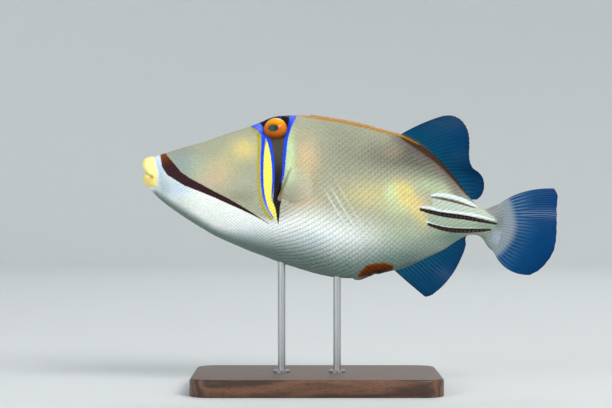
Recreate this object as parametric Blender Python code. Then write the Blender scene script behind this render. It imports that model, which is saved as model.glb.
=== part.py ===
"""Picasso triggerfish, life size, swimming over a flat base on two short rods.

The fish faces -X and shows its left side to -Y, with +Z up. The origin is on the floor,
under the middle of the whole length. Sizes are in millimetres and become metres where a
mesh is made. Along the fish, s is the distance behind the lips, y is the distance to its
right and h is the height above the datum line, which runs level through its middle.
"""

import math

import bmesh
import bpy
import numpy as np
from mathutils import Matrix, Vector

MM = 0.001
GAP = 0.3
ROOT_SUNK = 1.2

# Whole fish
TOTAL_LENGTH = 240.0
DATUM_HEIGHT = 107.0

# Side outline of head, trunk and tail stem, as (s, h)
BACK_LINE = [
    (8.7, 28.0), (15.6, 30.3), (33, 35.2), (50, 41.0), (62, 44.8), (69, 47.6), (75, 49.8),
    (82, 50.8), (93, 51.0), (105, 50.1), (117, 48.5), (128, 46.0), (140, 42.6), (148.5, 40.2),
    (155, 37.0), (162.7, 32.3), (170.2, 26.0), (178.3, 17.3), (185.2, 8.1), (190, 2.1),
    (193.3, -1.2), (197, -2.6), (201.4, -0.9), (207, 2.0), (214, 5.0),
]
BELLY_LINE = [
    (8.0, 4.1), (12.1, 0.7), (21.3, -5.8), (33, -13.3), (45, -20.0), (58, -25.6), (72, -31.1),
    (86, -36.0), (99.5, -40.0), (110.5, -42.3), (119, -42.8), (126, -42.6), (133, -41.4),
    (139, -39.6), (145, -38.2), (153.5, -35.3), (165, -30.5), (173.7, -26.2), (180, -21.9),
    (186, -18.7), (191, -17.8), (196.2, -19.9), (200.2, -24.6), (204.3, -27.6), (214, -31.5),
]

# Cross-sections by s: half width, the share of the depth, from below, at which the body
# is widest, and the tapers, where 1 is an ellipse, less is squarer and more is sharper
HALF_WIDTH = [
    (8.7, 6.5), (15, 8.3), (30, 11.7), (45, 14.7), (60, 17.3), (75, 19.5), (90, 20.9),
    (105, 21.2), (120, 20.2), (135, 18.0), (150, 14.8), (163, 11.5), (175, 8.7), (186, 6.4),
    (196, 4.6), (203, 3.1), (208, 2.2), (214, 1.6),
]
WIDEST_SHARE = [(8.7, 0.42), (40, 0.46), (80, 0.49), (110, 0.50), (214, 0.50)]
BACK_TAPER = [(8.7, 0.95), (45, 0.86), (70, 0.72), (90, 0.76), (115, 1.02), (160, 1.1), (214, 1)]
BELLY_TAPER = [(8.7, 1.0), (50, 1.15), (90, 1.3), (130, 1.3), (160, 1.1), (214, 1)]

# Loops of the body: how many, and how many between each pair of places
AROUND = 36
STATIONS = [(8.7, 58.0, 15), (58.0, 92.0, 12), (92.0, 156.0, 13), (156.0, 214.0, 17)]

# Lips: loops from inside the mouth out over the lips to the snout. Each has its top,
# corner and bottom as (s, h), and its half width at the corner
LIP_LOOPS = [
    ((5.4, 17.0), (6.2, 16.2), (5.2, 15.6), 1.8),
    ((2.4, 18.9), (5.7, 15.6), (2.4, 17.4), 4.4),
    ((0.9, 20.6), (5.8, 15.3), (0.9, 16.9), 5.1),
    ((0.0, 22.9), (6.1, 15.1), (0.4, 15.5), 5.6),
    ((1.0, 25.4), (6.5, 14.9), (0.8, 13.3), 6.0),
    ((3.0, 26.6), (7.1, 14.6), (2.1, 10.8), 6.1),
    ((5.0, 27.1), (7.8, 14.2), (4.2, 8.5), 5.9),
    ((6.6, 27.3), (8.4, 14.0), (6.1, 6.4), 5.9),
]

# Cuts that part the nodes: (s, h) on the cut, and how far s grows with each mm of h
LIP_CUT = (8.0, 15.0, 0.0)
GILL_CUT = (84.5, 19.0, 0.311)
TAIL_CUT = (158.7, 0.0, 0.0)
STEM_END_CUT = (206.7, -12.5, 0.154)

# Eye: centre of the right ball, and where it looks
EYE_RADIUS = 7.0
EYE_CENTRE = (76.9, 9.6, 42.2)
EYE_FACING = (-0.08, 0.88, 0.46)
EYE_DIVISIONS = (18, 11)
RIM_WIRE = 0.9
RIM_DIVISIONS = (20, 6)

# Two nostrils before each eye
NOSTRILS = [(67.0, 39.6), (68.6, 41.4)]
NOSTRIL_RADIUS = 0.6
NOSTRIL_DEPTH = 1.4

# Gill slit, along the gill cut
SLIT_HEIGHTS = (2.3, 19.0)
SLIT_WIDTH = 1.1
SLIT_DEPTH = 2.2

# Rows of small forward-curved spines on the tail stem: (s, h) points and spine count
SPINE_ROWS = [
    ([(166.8, 3.3), (172.5, 2.9), (178.3, 1.8), (190.4, -1.9)], 11),
    ([(160.4, -3.6), (171.4, -5.9), (184.1, -7.4), (201.0, -10.7)], 18),
    ([(165.6, -12.4), (175.5, -14.4), (186.0, -15.2), (197.0, -15.2)], 14),
]
SPINE_HEIGHT = 1.5
SPINE_RADII = (1.05, 0.1)
SPINE_FORWARD = 0.55
SPINE_SIDES = 4
ROW_END_SIZE = 0.7

# Folded first dorsal fin: for each spine, where it starts and ends, its radius near the
# root and how far its middle lies to the left of the back's ridge
FOLDED_SPINES = [(96.0, 117.5, 1.7, 0.0), (102.0, 120.0, 1.3, 0.9), (111.0, 122.0, 1.1, -0.8)]
FOLDED_SPINE_TIP = 0.45
FOLDED_SPINE_DEPTH = 0.55
FOLDED_SPINE_LOOPS = 9
SPINE_AROUND = 8

# Stub of the joined pelvic fins, at the end of the belly's keel
PELVIC_STUB = (121.5, 129.5)
PELVIC_STUB_RADIUS = 1.5
PELVIC_STUB_LOOPS = 7

# Soft dorsal fin: root along the back, count of rays, tips of the rays, how far the first
# ray bows and how far the fin waves to each side
DORSAL_ROOT = (148.8, 189.6)
DORSAL_RAYS = 25
DORSAL_MARGIN = [
    (173.0, 50.8), (176.5, 51.4), (180.2, 50.9), (184.0, 48.7), (186.8, 44.8), (188.2, 39.8),
    (188.2, 34.0), (187.8, 28.3), (188.3, 23.7), (190.0, 20.4), (193.2, 18.2), (195.8, 15.2),
    (196.9, 11.5), (196.7, 8.0), (195.2, 4.6), (193.0, 2.6),
]
DORSAL_BOW = 2.0
DORSAL_WAVE = (5.5, 1.05, 0.12)
DORSAL_ROWS = 8

# Anal fin, in the same terms along the belly
ANAL_ROOT = (145.0, 186.6)
ANAL_RAYS = 22
ANAL_MARGIN = [
    (161.3, -51.9), (162.9, -53.3), (165.4, -52.8), (169.4, -50.0), (175.4, -44.4),
    (180.6, -38.0), (184.8, -31.0), (187.6, -25.2), (189.2, -21.6),
]
ANAL_BOW = -0.6
ANAL_WAVE = (-4.5, 0.95, 0.05)
ANAL_ROWS = 7

# Tail fin: its root from top to bottom, the tips of its rays, the points that the top and
# bottom rays bend towards, and how far it curves to the fish's right
TAIL_ROOT = [(209.3, 2.5), (204.6, -28.0)]
TAIL_RAYS = 12
TAIL_STRANDS = 4
TAIL_MARGIN = [
    (238.0, 9.0), (239.4, 7.2), (239.5, -3.0), (239.3, -12.0), (238.9, -20.0), (237.6, -27.0),
    (234.0, -33.4), (229.2, -38.4), (224.0, -41.2),
]
TAIL_TOP_BEND = (219.0, 9.6)
TAIL_BOTTOM_BEND = (207.4, -41.0)
TAIL_CURVE = 5.0
TAIL_RIPPLE = 1.5
TAIL_FORK = (0.25, 0.6)
TAIL_ROWS = 9

# Pectoral fins: root line, then from the first ray to the last the angle above level, how
# far it spreads from the flank and its length
PECTORAL_ROOT = [(80.6, 3.2), (84.6, 0.4)]
PECTORAL_RAYS = 13
PECTORAL_ANGLES = (74.0, 18.0)
PECTORAL_SPREAD = (27.0, 20.0)
PECTORAL_LENGTHS = [(0.0, 21.0), (0.25, 24.5), (0.6, 22.0), (1.0, 15.0)]
PECTORAL_CUP = 2.2
PECTORAL_ROWS = 7

# Half thickness of the fins at root and margin: on a ray's ridge, and on the web between
UPRIGHT_FIN = ((0.85, 0.34), (0.62, 0.26))
TAIL_FIN = ((1.6, 0.36), (1.45, 0.26))
PECTORAL_FIN = ((0.7, 0.32), (0.5, 0.25))
WEB_NOTCH = 0.015

# Stand
BASE_LENGTH = 142.0
BASE_DEPTH = 90.0
BASE_THICKNESS = 10.0
BASE_CORNER = 12.0
BASE_CORNER_STEPS = 7
BASE_EDGE = 1.5
BASE_MIDDLE = 100.0
ROD_PLACES = {"stand_rod_front": 80.0, "stand_rod_rear": 112.0}
ROD_RADIUS = 2.2
ROD_SIDES = 24
ROD_IN_BODY = 6.0
ROD_IN_BASE = 6.0

# Plain looks: name, colour, roughness and metallic value
FLESH = ("flesh", (0.56, 0.56, 0.44), 0.45, 0.0)
LIP = ("lip", (0.85, 0.66, 0.25), 0.5, 0.0)
IRIS = ("iris", (0.80, 0.33, 0.02), 0.2, 0.0)
FIN = ("fin_web", (0.16, 0.36, 0.40), 0.4, 0.0)
OCHRE = ("ochre_skin", (0.45, 0.20, 0.03), 0.5, 0.0)
WOOD = ("walnut", (0.13, 0.06, 0.03), 0.4, 0.0)
STEEL = ("steel", (0.55, 0.55, 0.56), 0.3, 1.0)


def place(s, y, h):
    """World point, in metres, of a point on the fish."""
    return Vector(((s - TOTAL_LENGTH / 2) * MM, y * MM, (DATUM_HEIGHT + h) * MM))


def smooth(knots, x):
    """Value at x of a smooth curve through (x, value) knots."""
    xs, ys = np.array(knots, float).T
    slopes = np.gradient(ys, xs)
    i = int(np.clip(np.searchsorted(xs, x) - 1, 0, len(xs) - 2))
    width = xs[i + 1] - xs[i]
    t = min(max((x - xs[i]) / width, 0.0), 1.0)
    value = ys[i] * (1 + 2 * t) * (1 - t) ** 2 + ys[i + 1] * t * t * (3 - 2 * t)
    return float(value + width * (slopes[i] * t * (1 - t) ** 2 - slopes[i + 1] * t * t * (1 - t)))


def along(points, share):
    """Point at a share of the length of a smooth line through the points."""
    line = np.array(points, float)
    lengths = np.r_[0, np.cumsum(np.linalg.norm(np.diff(line, axis=0), axis=1))]
    at = share * lengths[-1]
    return np.array([smooth(np.c_[lengths, line[:, k]], at) for k in range(line.shape[1])])


def curve_to(start, bend, end, r):
    """Point at r on the curve that leaves start towards bend and ends at end."""
    return start * (1 - r) ** 2 + bend * 2 * r * (1 - r) + end * r * r


def blend(pair, share):
    """Value at a share of the way from the first of a pair to the second."""
    return pair[0] * (1 - share) + pair[1] * share


def section(s):
    """Heights of back, widest line and belly, half width and both tapers at s."""
    back, belly = smooth(BACK_LINE, s), smooth(BELLY_LINE, s)
    widest = blend((belly, back), smooth(WIDEST_SHARE, s))
    tapers = smooth(BACK_TAPER, s), smooth(BELLY_TAPER, s)
    return back, widest, belly, smooth(HALF_WIDTH, s), *tapers


def flank(s, h):
    """Half thickness of the body at s and h."""
    back, widest, belly, half, back_taper, belly_taper = section(s)
    end, taper = (back, back_taper) if h > widest else (belly, belly_taper)
    share = (h - widest) / (end - widest)
    return half * max(1 - share * share, 0.0) ** (taper / 2)


def flank_normal(s, h, side):
    """Outward direction of the flank at s and h, on side -1 or 1."""
    step = 0.4
    by_s = (flank(s + step, h) - flank(s - step, h)) / (2 * step)
    by_h = (flank(s, h + step) - flank(s, h - step)) / (2 * step)
    return Vector((-by_s, side, -by_h)).normalized()


def body_loop(top, corner, bottom, half, tapers):
    """Loop of points round the body, from its top down one side and up the other."""
    points = []
    for j in range(AROUND):
        angle = 2 * math.pi * j / AROUND
        end, taper = (top, tapers[0]) if math.cos(angle) >= 0 else (bottom, tapers[1])
        share = abs(math.cos(angle))
        s, h = blend((corner[0], end[0]), share), blend((corner[1], end[1]), share)
        y = half * abs(math.sin(angle)) ** taper
        points.append(place(s, -math.copysign(y, math.sin(angle)), h))
    return points


def body_mesh(swell=0.0):
    """Closed mesh of lips, head, trunk and tail stem in one, grown outwards by swell."""
    loops = [body_loop(*points, half, (1, 1)) for *points, half in LIP_LOOPS]
    spans = [np.linspace(a, b, count, endpoint=False) for a, b, count in STATIONS]
    for s in [*np.concatenate(spans), STATIONS[-1][1]]:
        back, widest, belly, half, *tapers = section(s)
        loops.append(
            body_loop((s, back + swell), (s, widest), (s, belly - swell), half + swell, tapers)
        )
    return loft(loops)


def loft(loops):
    """Closed mesh through loops of equally many points, with a face on each end."""
    mesh = bmesh.new()
    rows = [[mesh.verts.new(point) for point in loop] for loop in loops]
    for first, second in zip(rows, rows[1:]):
        join_loops(mesh, first, second)
    mesh.faces.new(rows[0])
    mesh.faces.new(rows[-1])
    bmesh.ops.recalc_face_normals(mesh, faces=mesh.faces)
    return mesh


def join_loops(mesh, first, second):
    """Faces between two loops of vertices."""
    for j, vertex in enumerate(first):
        k = (j + 1) % len(first)
        mesh.faces.new((vertex, first[k], second[k], second[j]))


def keep_side(mesh, cut, behind):
    """Keeps the part of the mesh behind or ahead of a cut, less half a gap, and caps it."""
    s, h, lean = cut
    outward = Vector((1, 0, -lean)).normalized() * (-1 if behind else 1)
    at = place(s, 0, h) - outward * GAP / 2 * MM
    parts = mesh.verts[:] + mesh.edges[:] + mesh.faces[:]
    bmesh.ops.bisect_plane(mesh, geom=parts, plane_co=at, plane_no=outward, clear_outer=True)
    bmesh.ops.contextual_create(mesh, geom=[edge for edge in mesh.edges if edge.is_boundary])
    bmesh.ops.recalc_face_normals(mesh, faces=mesh.faces)


def material(name, colour, roughness, metallic):
    """Plain material of that name, made once."""
    if name in bpy.data.materials:
        return bpy.data.materials[name]
    made = bpy.data.materials.new(name)
    made.use_nodes = True
    shader = made.node_tree.nodes["Principled BSDF"]
    shader.inputs["Base Color"].default_value = (*colour, 1)
    shader.inputs["Roughness"].default_value = roughness
    shader.inputs["Metallic"].default_value = metallic
    made.diffuse_color = (*colour, 1)
    return made


def add_object(name, mesh, look=FLESH):
    """Object of that name in the scene, made from a bmesh, smooth but for its sharp edges."""
    data = bpy.data.meshes.new(name)
    mesh.to_mesh(data)
    mesh.free()
    data.materials.append(material(*look))
    made = bpy.data.objects.new(name, data)
    bpy.context.scene.collection.objects.link(made)
    data.shade_smooth()
    data.set_sharp_from_angle(angle=math.radians(40))
    return made


def combine(target, pieces, operation):
    """Joins the pieces to the target, or cuts them from it, in one applied Boolean."""
    group = bpy.data.collections.new(target.name + "_pieces")
    bpy.context.scene.collection.children.link(group)
    for piece in pieces:
        bpy.context.scene.collection.objects.unlink(piece)
        group.objects.link(piece)
    boolean = target.modifiers.new(operation.lower(), "BOOLEAN")
    boolean.operation = operation
    boolean.operand_type = "COLLECTION"
    boolean.collection = group
    boolean.solver = "EXACT"
    bpy.context.view_layer.update()
    graph = bpy.context.evaluated_depsgraph_get()
    made = bpy.data.meshes.new_from_object(target.evaluated_get(graph))
    target.modifiers.clear()
    target.data = made
    for piece in pieces:
        bpy.data.objects.remove(piece)
    bpy.data.collections.remove(group)
    keep_largest(target)


def connected_faces(start):
    """Every face of the closed surface that a face belongs to."""
    found, edge_of_found = {start}, [start]
    while edge_of_found:
        face = edge_of_found.pop()
        near = {other for edge in face.edges for other in edge.link_faces} - found
        found |= near
        edge_of_found += near
    return found


def keep_largest(target):
    """Drops every closed surface of the object but its largest."""
    mesh = bmesh.new()
    mesh.from_mesh(target.data)
    left, surfaces = set(mesh.faces), []
    while left:
        surfaces.append(connected_faces(next(iter(left))))
        left -= surfaces[-1]
    surfaces.sort(key=lambda faces: sum(face.calc_area() for face in faces))
    for surface in surfaces[:-1]:
        bmesh.ops.delete(mesh, geom=list(surface), context="FACES")
    mesh.to_mesh(target.data)
    mesh.free()


def cone(root, direction, radii, length, sides):
    """Closed cone or rod from root along direction, with all sizes in metres."""
    mesh = bmesh.new()
    turn = direction.to_track_quat("Z", "Y").to_matrix().to_4x4()
    middle = Matrix.Translation(root + direction.normalized() * length / 2)
    bmesh.ops.create_cone(
        mesh,
        cap_ends=True,
        segments=sides,
        radius1=radii[0],
        radius2=radii[1],
        depth=length,
        matrix=middle @ turn,
    )
    return mesh


def eye_place(side):
    """World centre of the eye on that side and the direction that it faces."""
    s, y, h = EYE_CENTRE
    facing = Vector((EYE_FACING[0], side * EYE_FACING[1], EYE_FACING[2])).normalized()
    return place(s, side * y, h), facing


def eyeball(side, swell=0.0):
    """Closed ball of the eye on that side, with its poles along Y."""
    mesh = bmesh.new()
    at = Matrix.Translation(eye_place(side)[0]) @ Matrix.Rotation(math.pi / 2, 4, "X")
    u, v = EYE_DIVISIONS
    radius = (EYE_RADIUS + swell) * MM
    bmesh.ops.create_uvsphere(mesh, u_segments=u, v_segments=v, radius=radius, matrix=at)
    return mesh


def socket_edge(side, angle):
    """World point, at an angle round the eye, where its socket breaks the head's surface."""
    centre, facing = eye_place(side)
    turn = facing.to_track_quat("Z", "Y")
    low, high = 0.0, math.pi / 2
    for _ in range(24):
        tilt = (low + high) / 2
        aside = Vector((math.cos(angle), math.sin(angle), 0)) * math.sin(tilt)
        out = turn @ (aside + Vector((0, 0, math.cos(tilt))))
        point = centre + out * (EYE_RADIUS + GAP) * MM
        s, h = point.x / MM + TOTAL_LENGTH / 2, point.z / MM - DATUM_HEIGHT
        if abs(point.y) / MM > flank(s, h):
            low = tilt
        else:
            high = tilt
    return point


def rim_mesh(side):
    """Closed ring of skin round the eye, along the edge of its socket."""
    segments, sides = RIM_DIVISIONS
    middle = [socket_edge(side, 2 * math.pi * i / segments) for i in range(segments)]
    mesh = bmesh.new()
    rows = []
    for i, point in enumerate(middle):
        forward = (middle[(i + 1) % segments] - middle[i - 1]).normalized()
        out = (point - eye_place(side)[0]).normalized()
        across = forward.cross(out)
        angles = np.linspace(0, 2 * math.pi, sides, endpoint=False)
        offsets = [(out * math.cos(a) + across * math.sin(a)) * RIM_WIRE * MM for a in angles]
        rows.append([mesh.verts.new(point + offset) for offset in offsets])
    for i, row in enumerate(rows):
        join_loops(mesh, row, rows[(i + 1) % segments])
    bmesh.ops.recalc_face_normals(mesh, faces=mesh.faces)
    return mesh


def nostril_mesh(s, h, side):
    """Short round cutter that opens a nostril."""
    normal = flank_normal(s, h, side)
    root = place(s, side * flank(s, h), h) - normal * NOSTRIL_DEPTH * MM
    radius = NOSTRIL_RADIUS * MM
    return cone(root, normal, (radius, radius), 2 * NOSTRIL_DEPTH * MM, 6)


def make_lips():
    """The two lips round the mouth's slit."""
    mesh = body_mesh()
    keep_side(mesh, LIP_CUT, behind=False)
    add_object("lips", mesh, LIP)


def make_head():
    """Head with raised rims round the eye sockets, and nostrils."""
    mesh = body_mesh()
    keep_side(mesh, LIP_CUT, behind=True)
    keep_side(mesh, GILL_CUT, behind=False)
    head = add_object("head", mesh)
    combine(head, [add_object("rim", rim_mesh(side)) for side in (-1, 1)], "UNION")
    cutters = [add_object("socket", eyeball(side, GAP)) for side in (-1, 1)]
    for side in (-1, 1):
        cutters += [add_object("nostril", nostril_mesh(s, h, side)) for s, h in NOSTRILS]
    combine(head, cutters, "DIFFERENCE")


def make_eyes():
    """Two eyeballs, one in each socket."""
    for name, side in (("eye_left", -1), ("eye_right", 1)):
        add_object(name, eyeball(side), IRIS)


def folded_spine(start, end, radius, aside, swell=0.0):
    """One folded dorsal spine, thick near its root, lying along the back's ridge."""
    loops = []
    for share in np.linspace(0, 1, FOLDED_SPINE_LOOPS):
        round_end = 0.3 + 0.7 * math.sqrt(1 - (1 - min(share / 0.12, 1)) ** 2)
        thick = blend((radius, FOLDED_SPINE_TIP), share) * round_end + swell
        s = blend((start - swell, end + swell), share)
        middle = smooth(BACK_LINE, s) - FOLDED_SPINE_DEPTH - 0.35 * thick
        offset = -aside * math.sin(math.pi * (0.35 + 0.65 * share))
        angles = np.linspace(0, 2 * math.pi, SPINE_AROUND, endpoint=False)
        loops.append(
            [place(s, offset + thick * math.sin(a), middle + thick * math.cos(a)) for a in angles]
        )
    return loft(loops)


def make_spiny_dorsal():
    """First dorsal fin, folded: three spines side by side in the back's groove."""
    first, *others = [add_object("spine", folded_spine(*sizes), OCHRE) for sizes in FOLDED_SPINES]
    combine(first, others, "UNION")
    first.name = "spiny_dorsal_fin"


def slit_mesh(side):
    """Thin wedge that opens the gill slit ahead of the pectoral fin's root."""
    loops = []
    for share in np.linspace(0, 1, 7):
        h = blend(SLIT_HEIGHTS, share)
        front = GILL_CUT[0] + (h - GILL_CUT[1]) * GILL_CUT[2]
        width = SLIT_WIDTH * math.sin(math.pi * (0.12 + 0.76 * share))
        surface = flank(front, h)
        inner, outer = side * (surface - SLIT_DEPTH), side * (surface + SLIT_DEPTH)
        ends = (front - 1, front + width)
        corners = [(ends[0], inner), (ends[1], inner), (ends[1], outer), (ends[0], outer)]
        loops.append([place(s, y, h) for s, y in corners])
    return loft(loops)


def rod_mesh(s, swell=0.0):
    """Rod from its hole in the base up into the belly at s."""
    low = BASE_THICKNESS - ROD_IN_BASE - swell
    high = DATUM_HEIGHT + smooth(BELLY_LINE, s) + ROD_IN_BODY + swell
    foot = Vector(((s - TOTAL_LENGTH / 2) * MM, 0, low * MM))
    radius = (ROD_RADIUS + swell) * MM
    return cone(foot, Vector((0, 0, 1)), (radius, radius), (high - low) * MM, ROD_SIDES)


def make_trunk():
    """Trunk with the groove for the folded spines, the gill slits and the rods' holes."""
    mesh = body_mesh()
    keep_side(mesh, GILL_CUT, behind=True)
    keep_side(mesh, TAIL_CUT, behind=False)
    trunk = add_object("trunk", mesh)
    cutters = [add_object("groove", folded_spine(*sizes, swell=GAP)) for sizes in FOLDED_SPINES]
    cutters += [add_object("slit", slit_mesh(side)) for side in (-1, 1)]
    cutters += [add_object("hole", rod_mesh(s, GAP)) for s in ROD_PLACES.values()]
    combine(trunk, cutters, "DIFFERENCE")


def trim_to_body(piece):
    """Cuts a piece's sunk root off along the body's skin, a gap clear of it."""
    combine(piece, [add_object("body", body_mesh(GAP))], "DIFFERENCE")


def make_pelvic_stub():
    """Blunt stub of the pelvic fins, lying on the keel ahead of the vent."""
    loops = []
    for share in np.linspace(0, 1, PELVIC_STUB_LOOPS):
        s = blend(PELVIC_STUB, share)
        thick = PELVIC_STUB_RADIUS * (0.35 + 0.65 * math.sin(math.pi * min(share + 0.12, 1)))
        middle = smooth(BELLY_LINE, s) + 0.25 * thick
        angles = np.linspace(0, 2 * math.pi, SPINE_AROUND, endpoint=False)
        loops.append([place(s, thick * math.sin(a), middle - thick * math.cos(a)) for a in angles])
    trim_to_body(add_object("pelvic_stub", loft(loops), OCHRE))


def stem_spine(s, h, side, size):
    """One small spine of the tail stem, leaning forward, with its root sunk."""
    forward = Vector((-SPINE_FORWARD, 0, 0))
    lean = (flank_normal(s, h, side) + forward).normalized()
    root = place(s, side * flank(s, h), h) - lean * ROOT_SUNK * MM
    length = (SPINE_HEIGHT * size + ROOT_SUNK) * MM
    return cone(root, lean, [radius * size * MM for radius in SPINE_RADII], length, SPINE_SIDES)


def make_tail_stem():
    """Tail stem with its three rows of spines on each side, largest amid each row."""
    mesh = body_mesh()
    keep_side(mesh, TAIL_CUT, behind=True)
    keep_side(mesh, STEM_END_CUT, behind=False)
    stem = add_object("tail_stem", mesh)
    spines = []
    for side in (-1, 1):
        for points, count in SPINE_ROWS:
            for share in np.linspace(0, 1, count):
                size = blend((ROW_END_SIZE, 1), math.sin(math.pi * share))
                spine = stem_spine(*along(points, share), side, size)
                spines.append(add_object("spine", spine))
    combine(stem, spines, "UNION")


def fin_mesh(surface, columns, rows, half):
    """Closed fin. surface(t, r) is its middle in (s, y, h), from its first ray t = 0 to its
    last t = 1 and from root r = 0 to margin r = 1. half(column, r) is half its thickness.
    Both faces are split alike, so that they keep apart where the fin curves."""
    shares = np.linspace(0, 1, rows)
    middle = np.array([[surface(t, r) for r in shares] for t in np.linspace(0, 1, columns)])
    normal = np.cross(np.gradient(middle, axis=0), np.gradient(middle, axis=1))
    normal /= np.linalg.norm(normal, axis=2, keepdims=True)
    offset = normal * np.array([[half(i, r) for r in shares] for i in range(columns)])[..., None]
    mesh = bmesh.new()
    front, back = [
        [[mesh.verts.new(place(*point)) for point in column] for column in middle + way * offset]
        for way in (1, -1)
    ]
    end, tip = columns - 1, rows - 1
    for grid in (front, back):
        for i in range(end):
            for j in range(tip):
                a, b, c, d = grid[i][j], grid[i + 1][j], grid[i + 1][j + 1], grid[i][j + 1]
                mesh.faces.new((a, b, c))
                mesh.faces.new((a, c, d))
    edge = [(i, 0) for i in range(end)] + [(end, j) for j in range(tip)]
    edge += [(i, tip) for i in range(end, 0, -1)] + [(0, j) for j in range(tip, 0, -1)]
    for (i, j), (k, m) in zip(edge, edge[1:] + edge[:1]):
        mesh.faces.new((front[i][j], front[k][m], back[k][m]))
        mesh.faces.new((front[i][j], back[k][m], back[i][j]))
    bmesh.ops.recalc_face_normals(mesh, faces=mesh.faces)
    return mesh


def ridged(ridge, web):
    """Half thickness of a fin whose even columns are rays and whose odd ones are web."""
    return lambda column, r: blend(web if column % 2 else ridge, r)


def notched(t, rays):
    """Reach of the margin at t: in full at each ray and a little less between two."""
    return 1 - WEB_NOTCH * abs(math.sin(math.pi * t * (rays - 1)))


def upright_surface(line, root, margin, rays, bow, wave):
    """Middle of a fin that stands on a line of the body, with its root sunk in it."""

    def surface(t, r):
        s, end = blend(root, t), along(margin, t)
        start = np.array([s, smooth(line, s)])
        start -= (end - start) / np.linalg.norm(end - start) * ROOT_SUNK
        r *= notched(t, rays)
        at = curve_to(start, (start + end) / 2 + np.array([0, bow * (1 - t)]), end, r)
        height, turns, phase = wave
        return at[0], height * r**1.7 * math.sin(2 * math.pi * (turns * t + phase)), at[1]

    return surface


def make_soft_dorsal():
    """Soft dorsal fin, its root trimmed to the back."""
    wave = DORSAL_BOW, DORSAL_WAVE
    surface = upright_surface(BACK_LINE, DORSAL_ROOT, DORSAL_MARGIN, DORSAL_RAYS, *wave)
    mesh = fin_mesh(surface, 2 * DORSAL_RAYS - 1, DORSAL_ROWS, ridged(*UPRIGHT_FIN))
    trim_to_body(add_object("soft_dorsal_fin", mesh, FIN))


def make_anal_fin():
    """Anal fin, its root trimmed to the belly."""
    surface = upright_surface(BELLY_LINE, ANAL_ROOT, ANAL_MARGIN, ANAL_RAYS, ANAL_BOW, ANAL_WAVE)
    mesh = fin_mesh(surface, 2 * ANAL_RAYS - 1, ANAL_ROWS, ridged(*UPRIGHT_FIN))
    trim_to_body(add_object("anal_fin", mesh, FIN))


def tail_surface(t, r):
    """Middle of the tail fin, whose rays fan out from the tail stem's end."""
    top, bottom = np.array(TAIL_ROOT)
    start, end = blend((top, bottom), t) + np.array([GAP, 0]), along(TAIL_MARGIN, t)
    top_pull = TAIL_TOP_BEND - (top + TAIL_MARGIN[0]) / 2
    bottom_pull = TAIL_BOTTOM_BEND - (bottom + TAIL_MARGIN[-1]) / 2
    bend = (start + end) / 2
    bend += top_pull * max(1 - 2 * t, 0) ** 1.5 + bottom_pull * max(2 * t - 1, 0) ** 1.5
    r *= notched(t, TAIL_RAYS)
    at = curve_to(start, bend, end, r)
    return at[0], TAIL_CURVE * r * r + TAIL_RIPPLE * r * math.cos(2 * math.pi * t), at[1]


def tail_half(column, r):
    """Half thickness of the tail fin, whose rays fork: one ridge at the root, two beyond."""
    forked = min(max((r - TAIL_FORK[0]) / (TAIL_FORK[1] - TAIL_FORK[0]), 0), 1)
    ridges = (0, 0.35 + 0.65 * forked, 1 - 0.75 * forked, 0.35 + 0.65 * forked)
    ridge, web = [thin + (thick - thin) * (1 - r) ** 2.5 for thick, thin in TAIL_FIN]
    return blend((web, ridge), ridges[column % TAIL_STRANDS])


def make_tail_fin():
    """Tail fin of forked rays."""
    columns = TAIL_RAYS * TAIL_STRANDS + 1
    add_object("tail_fin", fin_mesh(tail_surface, columns, TAIL_ROWS, tail_half), FIN)


def pectoral_surface(side):
    """Middle of the pectoral fin on that side, a cupped fan raised off the flank."""

    def surface(t, r):
        s, h = blend(np.array(PECTORAL_ROOT), t)
        angle = math.radians(blend(PECTORAL_ANGLES, t))
        spread = math.radians(blend(PECTORAL_SPREAD, t))
        reach = smooth(PECTORAL_LENGTHS, t) * r * notched(t, PECTORAL_RAYS)
        y = flank(s, h) - ROOT_SUNK + reach * math.sin(spread) + PECTORAL_CUP * math.sin(2.8 * r)
        level = reach * math.cos(spread)
        return s + level * math.cos(angle), side * y, h + level * math.sin(angle)

    return surface


def make_pectorals():
    """Two pectoral fins, behind the gill slits."""
    for name, side in (("pectoral_fin_left", -1), ("pectoral_fin_right", 1)):
        surface = pectoral_surface(side)
        mesh = fin_mesh(surface, 2 * PECTORAL_RAYS - 1, PECTORAL_ROWS, ridged(*PECTORAL_FIN))
        trim_to_body(add_object(name, mesh, FIN))


def base_outline():
    """Points of the base's outline about its middle, with rounded corners."""
    points = []
    reach = BASE_LENGTH / 2 - BASE_CORNER, BASE_DEPTH / 2 - BASE_CORNER
    for quarter, (x, y) in enumerate(((1, 1), (-1, 1), (-1, -1), (1, -1))):
        for share in np.linspace(0, 1, BASE_CORNER_STEPS):
            angle = math.pi / 2 * (quarter + share)
            corner = BASE_CORNER * math.cos(angle), BASE_CORNER * math.sin(angle)
            points.append((x * reach[0] + corner[0], y * reach[1] + corner[1]))
    return points


def make_stand():
    """Flat base with bevelled top edge, and the two rods that hold the fish."""
    middle = BASE_MIDDLE - TOTAL_LENGTH / 2
    loops = []
    for inset, z in ((0, 0), (0, BASE_THICKNESS - BASE_EDGE), (BASE_EDGE, BASE_THICKNESS)):
        x_scale, y_scale = 1 - 2 * inset / BASE_LENGTH, 1 - 2 * inset / BASE_DEPTH
        loops.append(
            [Vector((middle + x * x_scale, y * y_scale, z)) * MM for x, y in base_outline()]
        )
    base = add_object("stand_base", loft(loops), WOOD)
    holes = [add_object("hole", rod_mesh(s, GAP)) for s in ROD_PLACES.values()]
    combine(base, holes, "DIFFERENCE")
    for name, s in ROD_PLACES.items():
        add_object(name, rod_mesh(s), STEEL)


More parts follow.
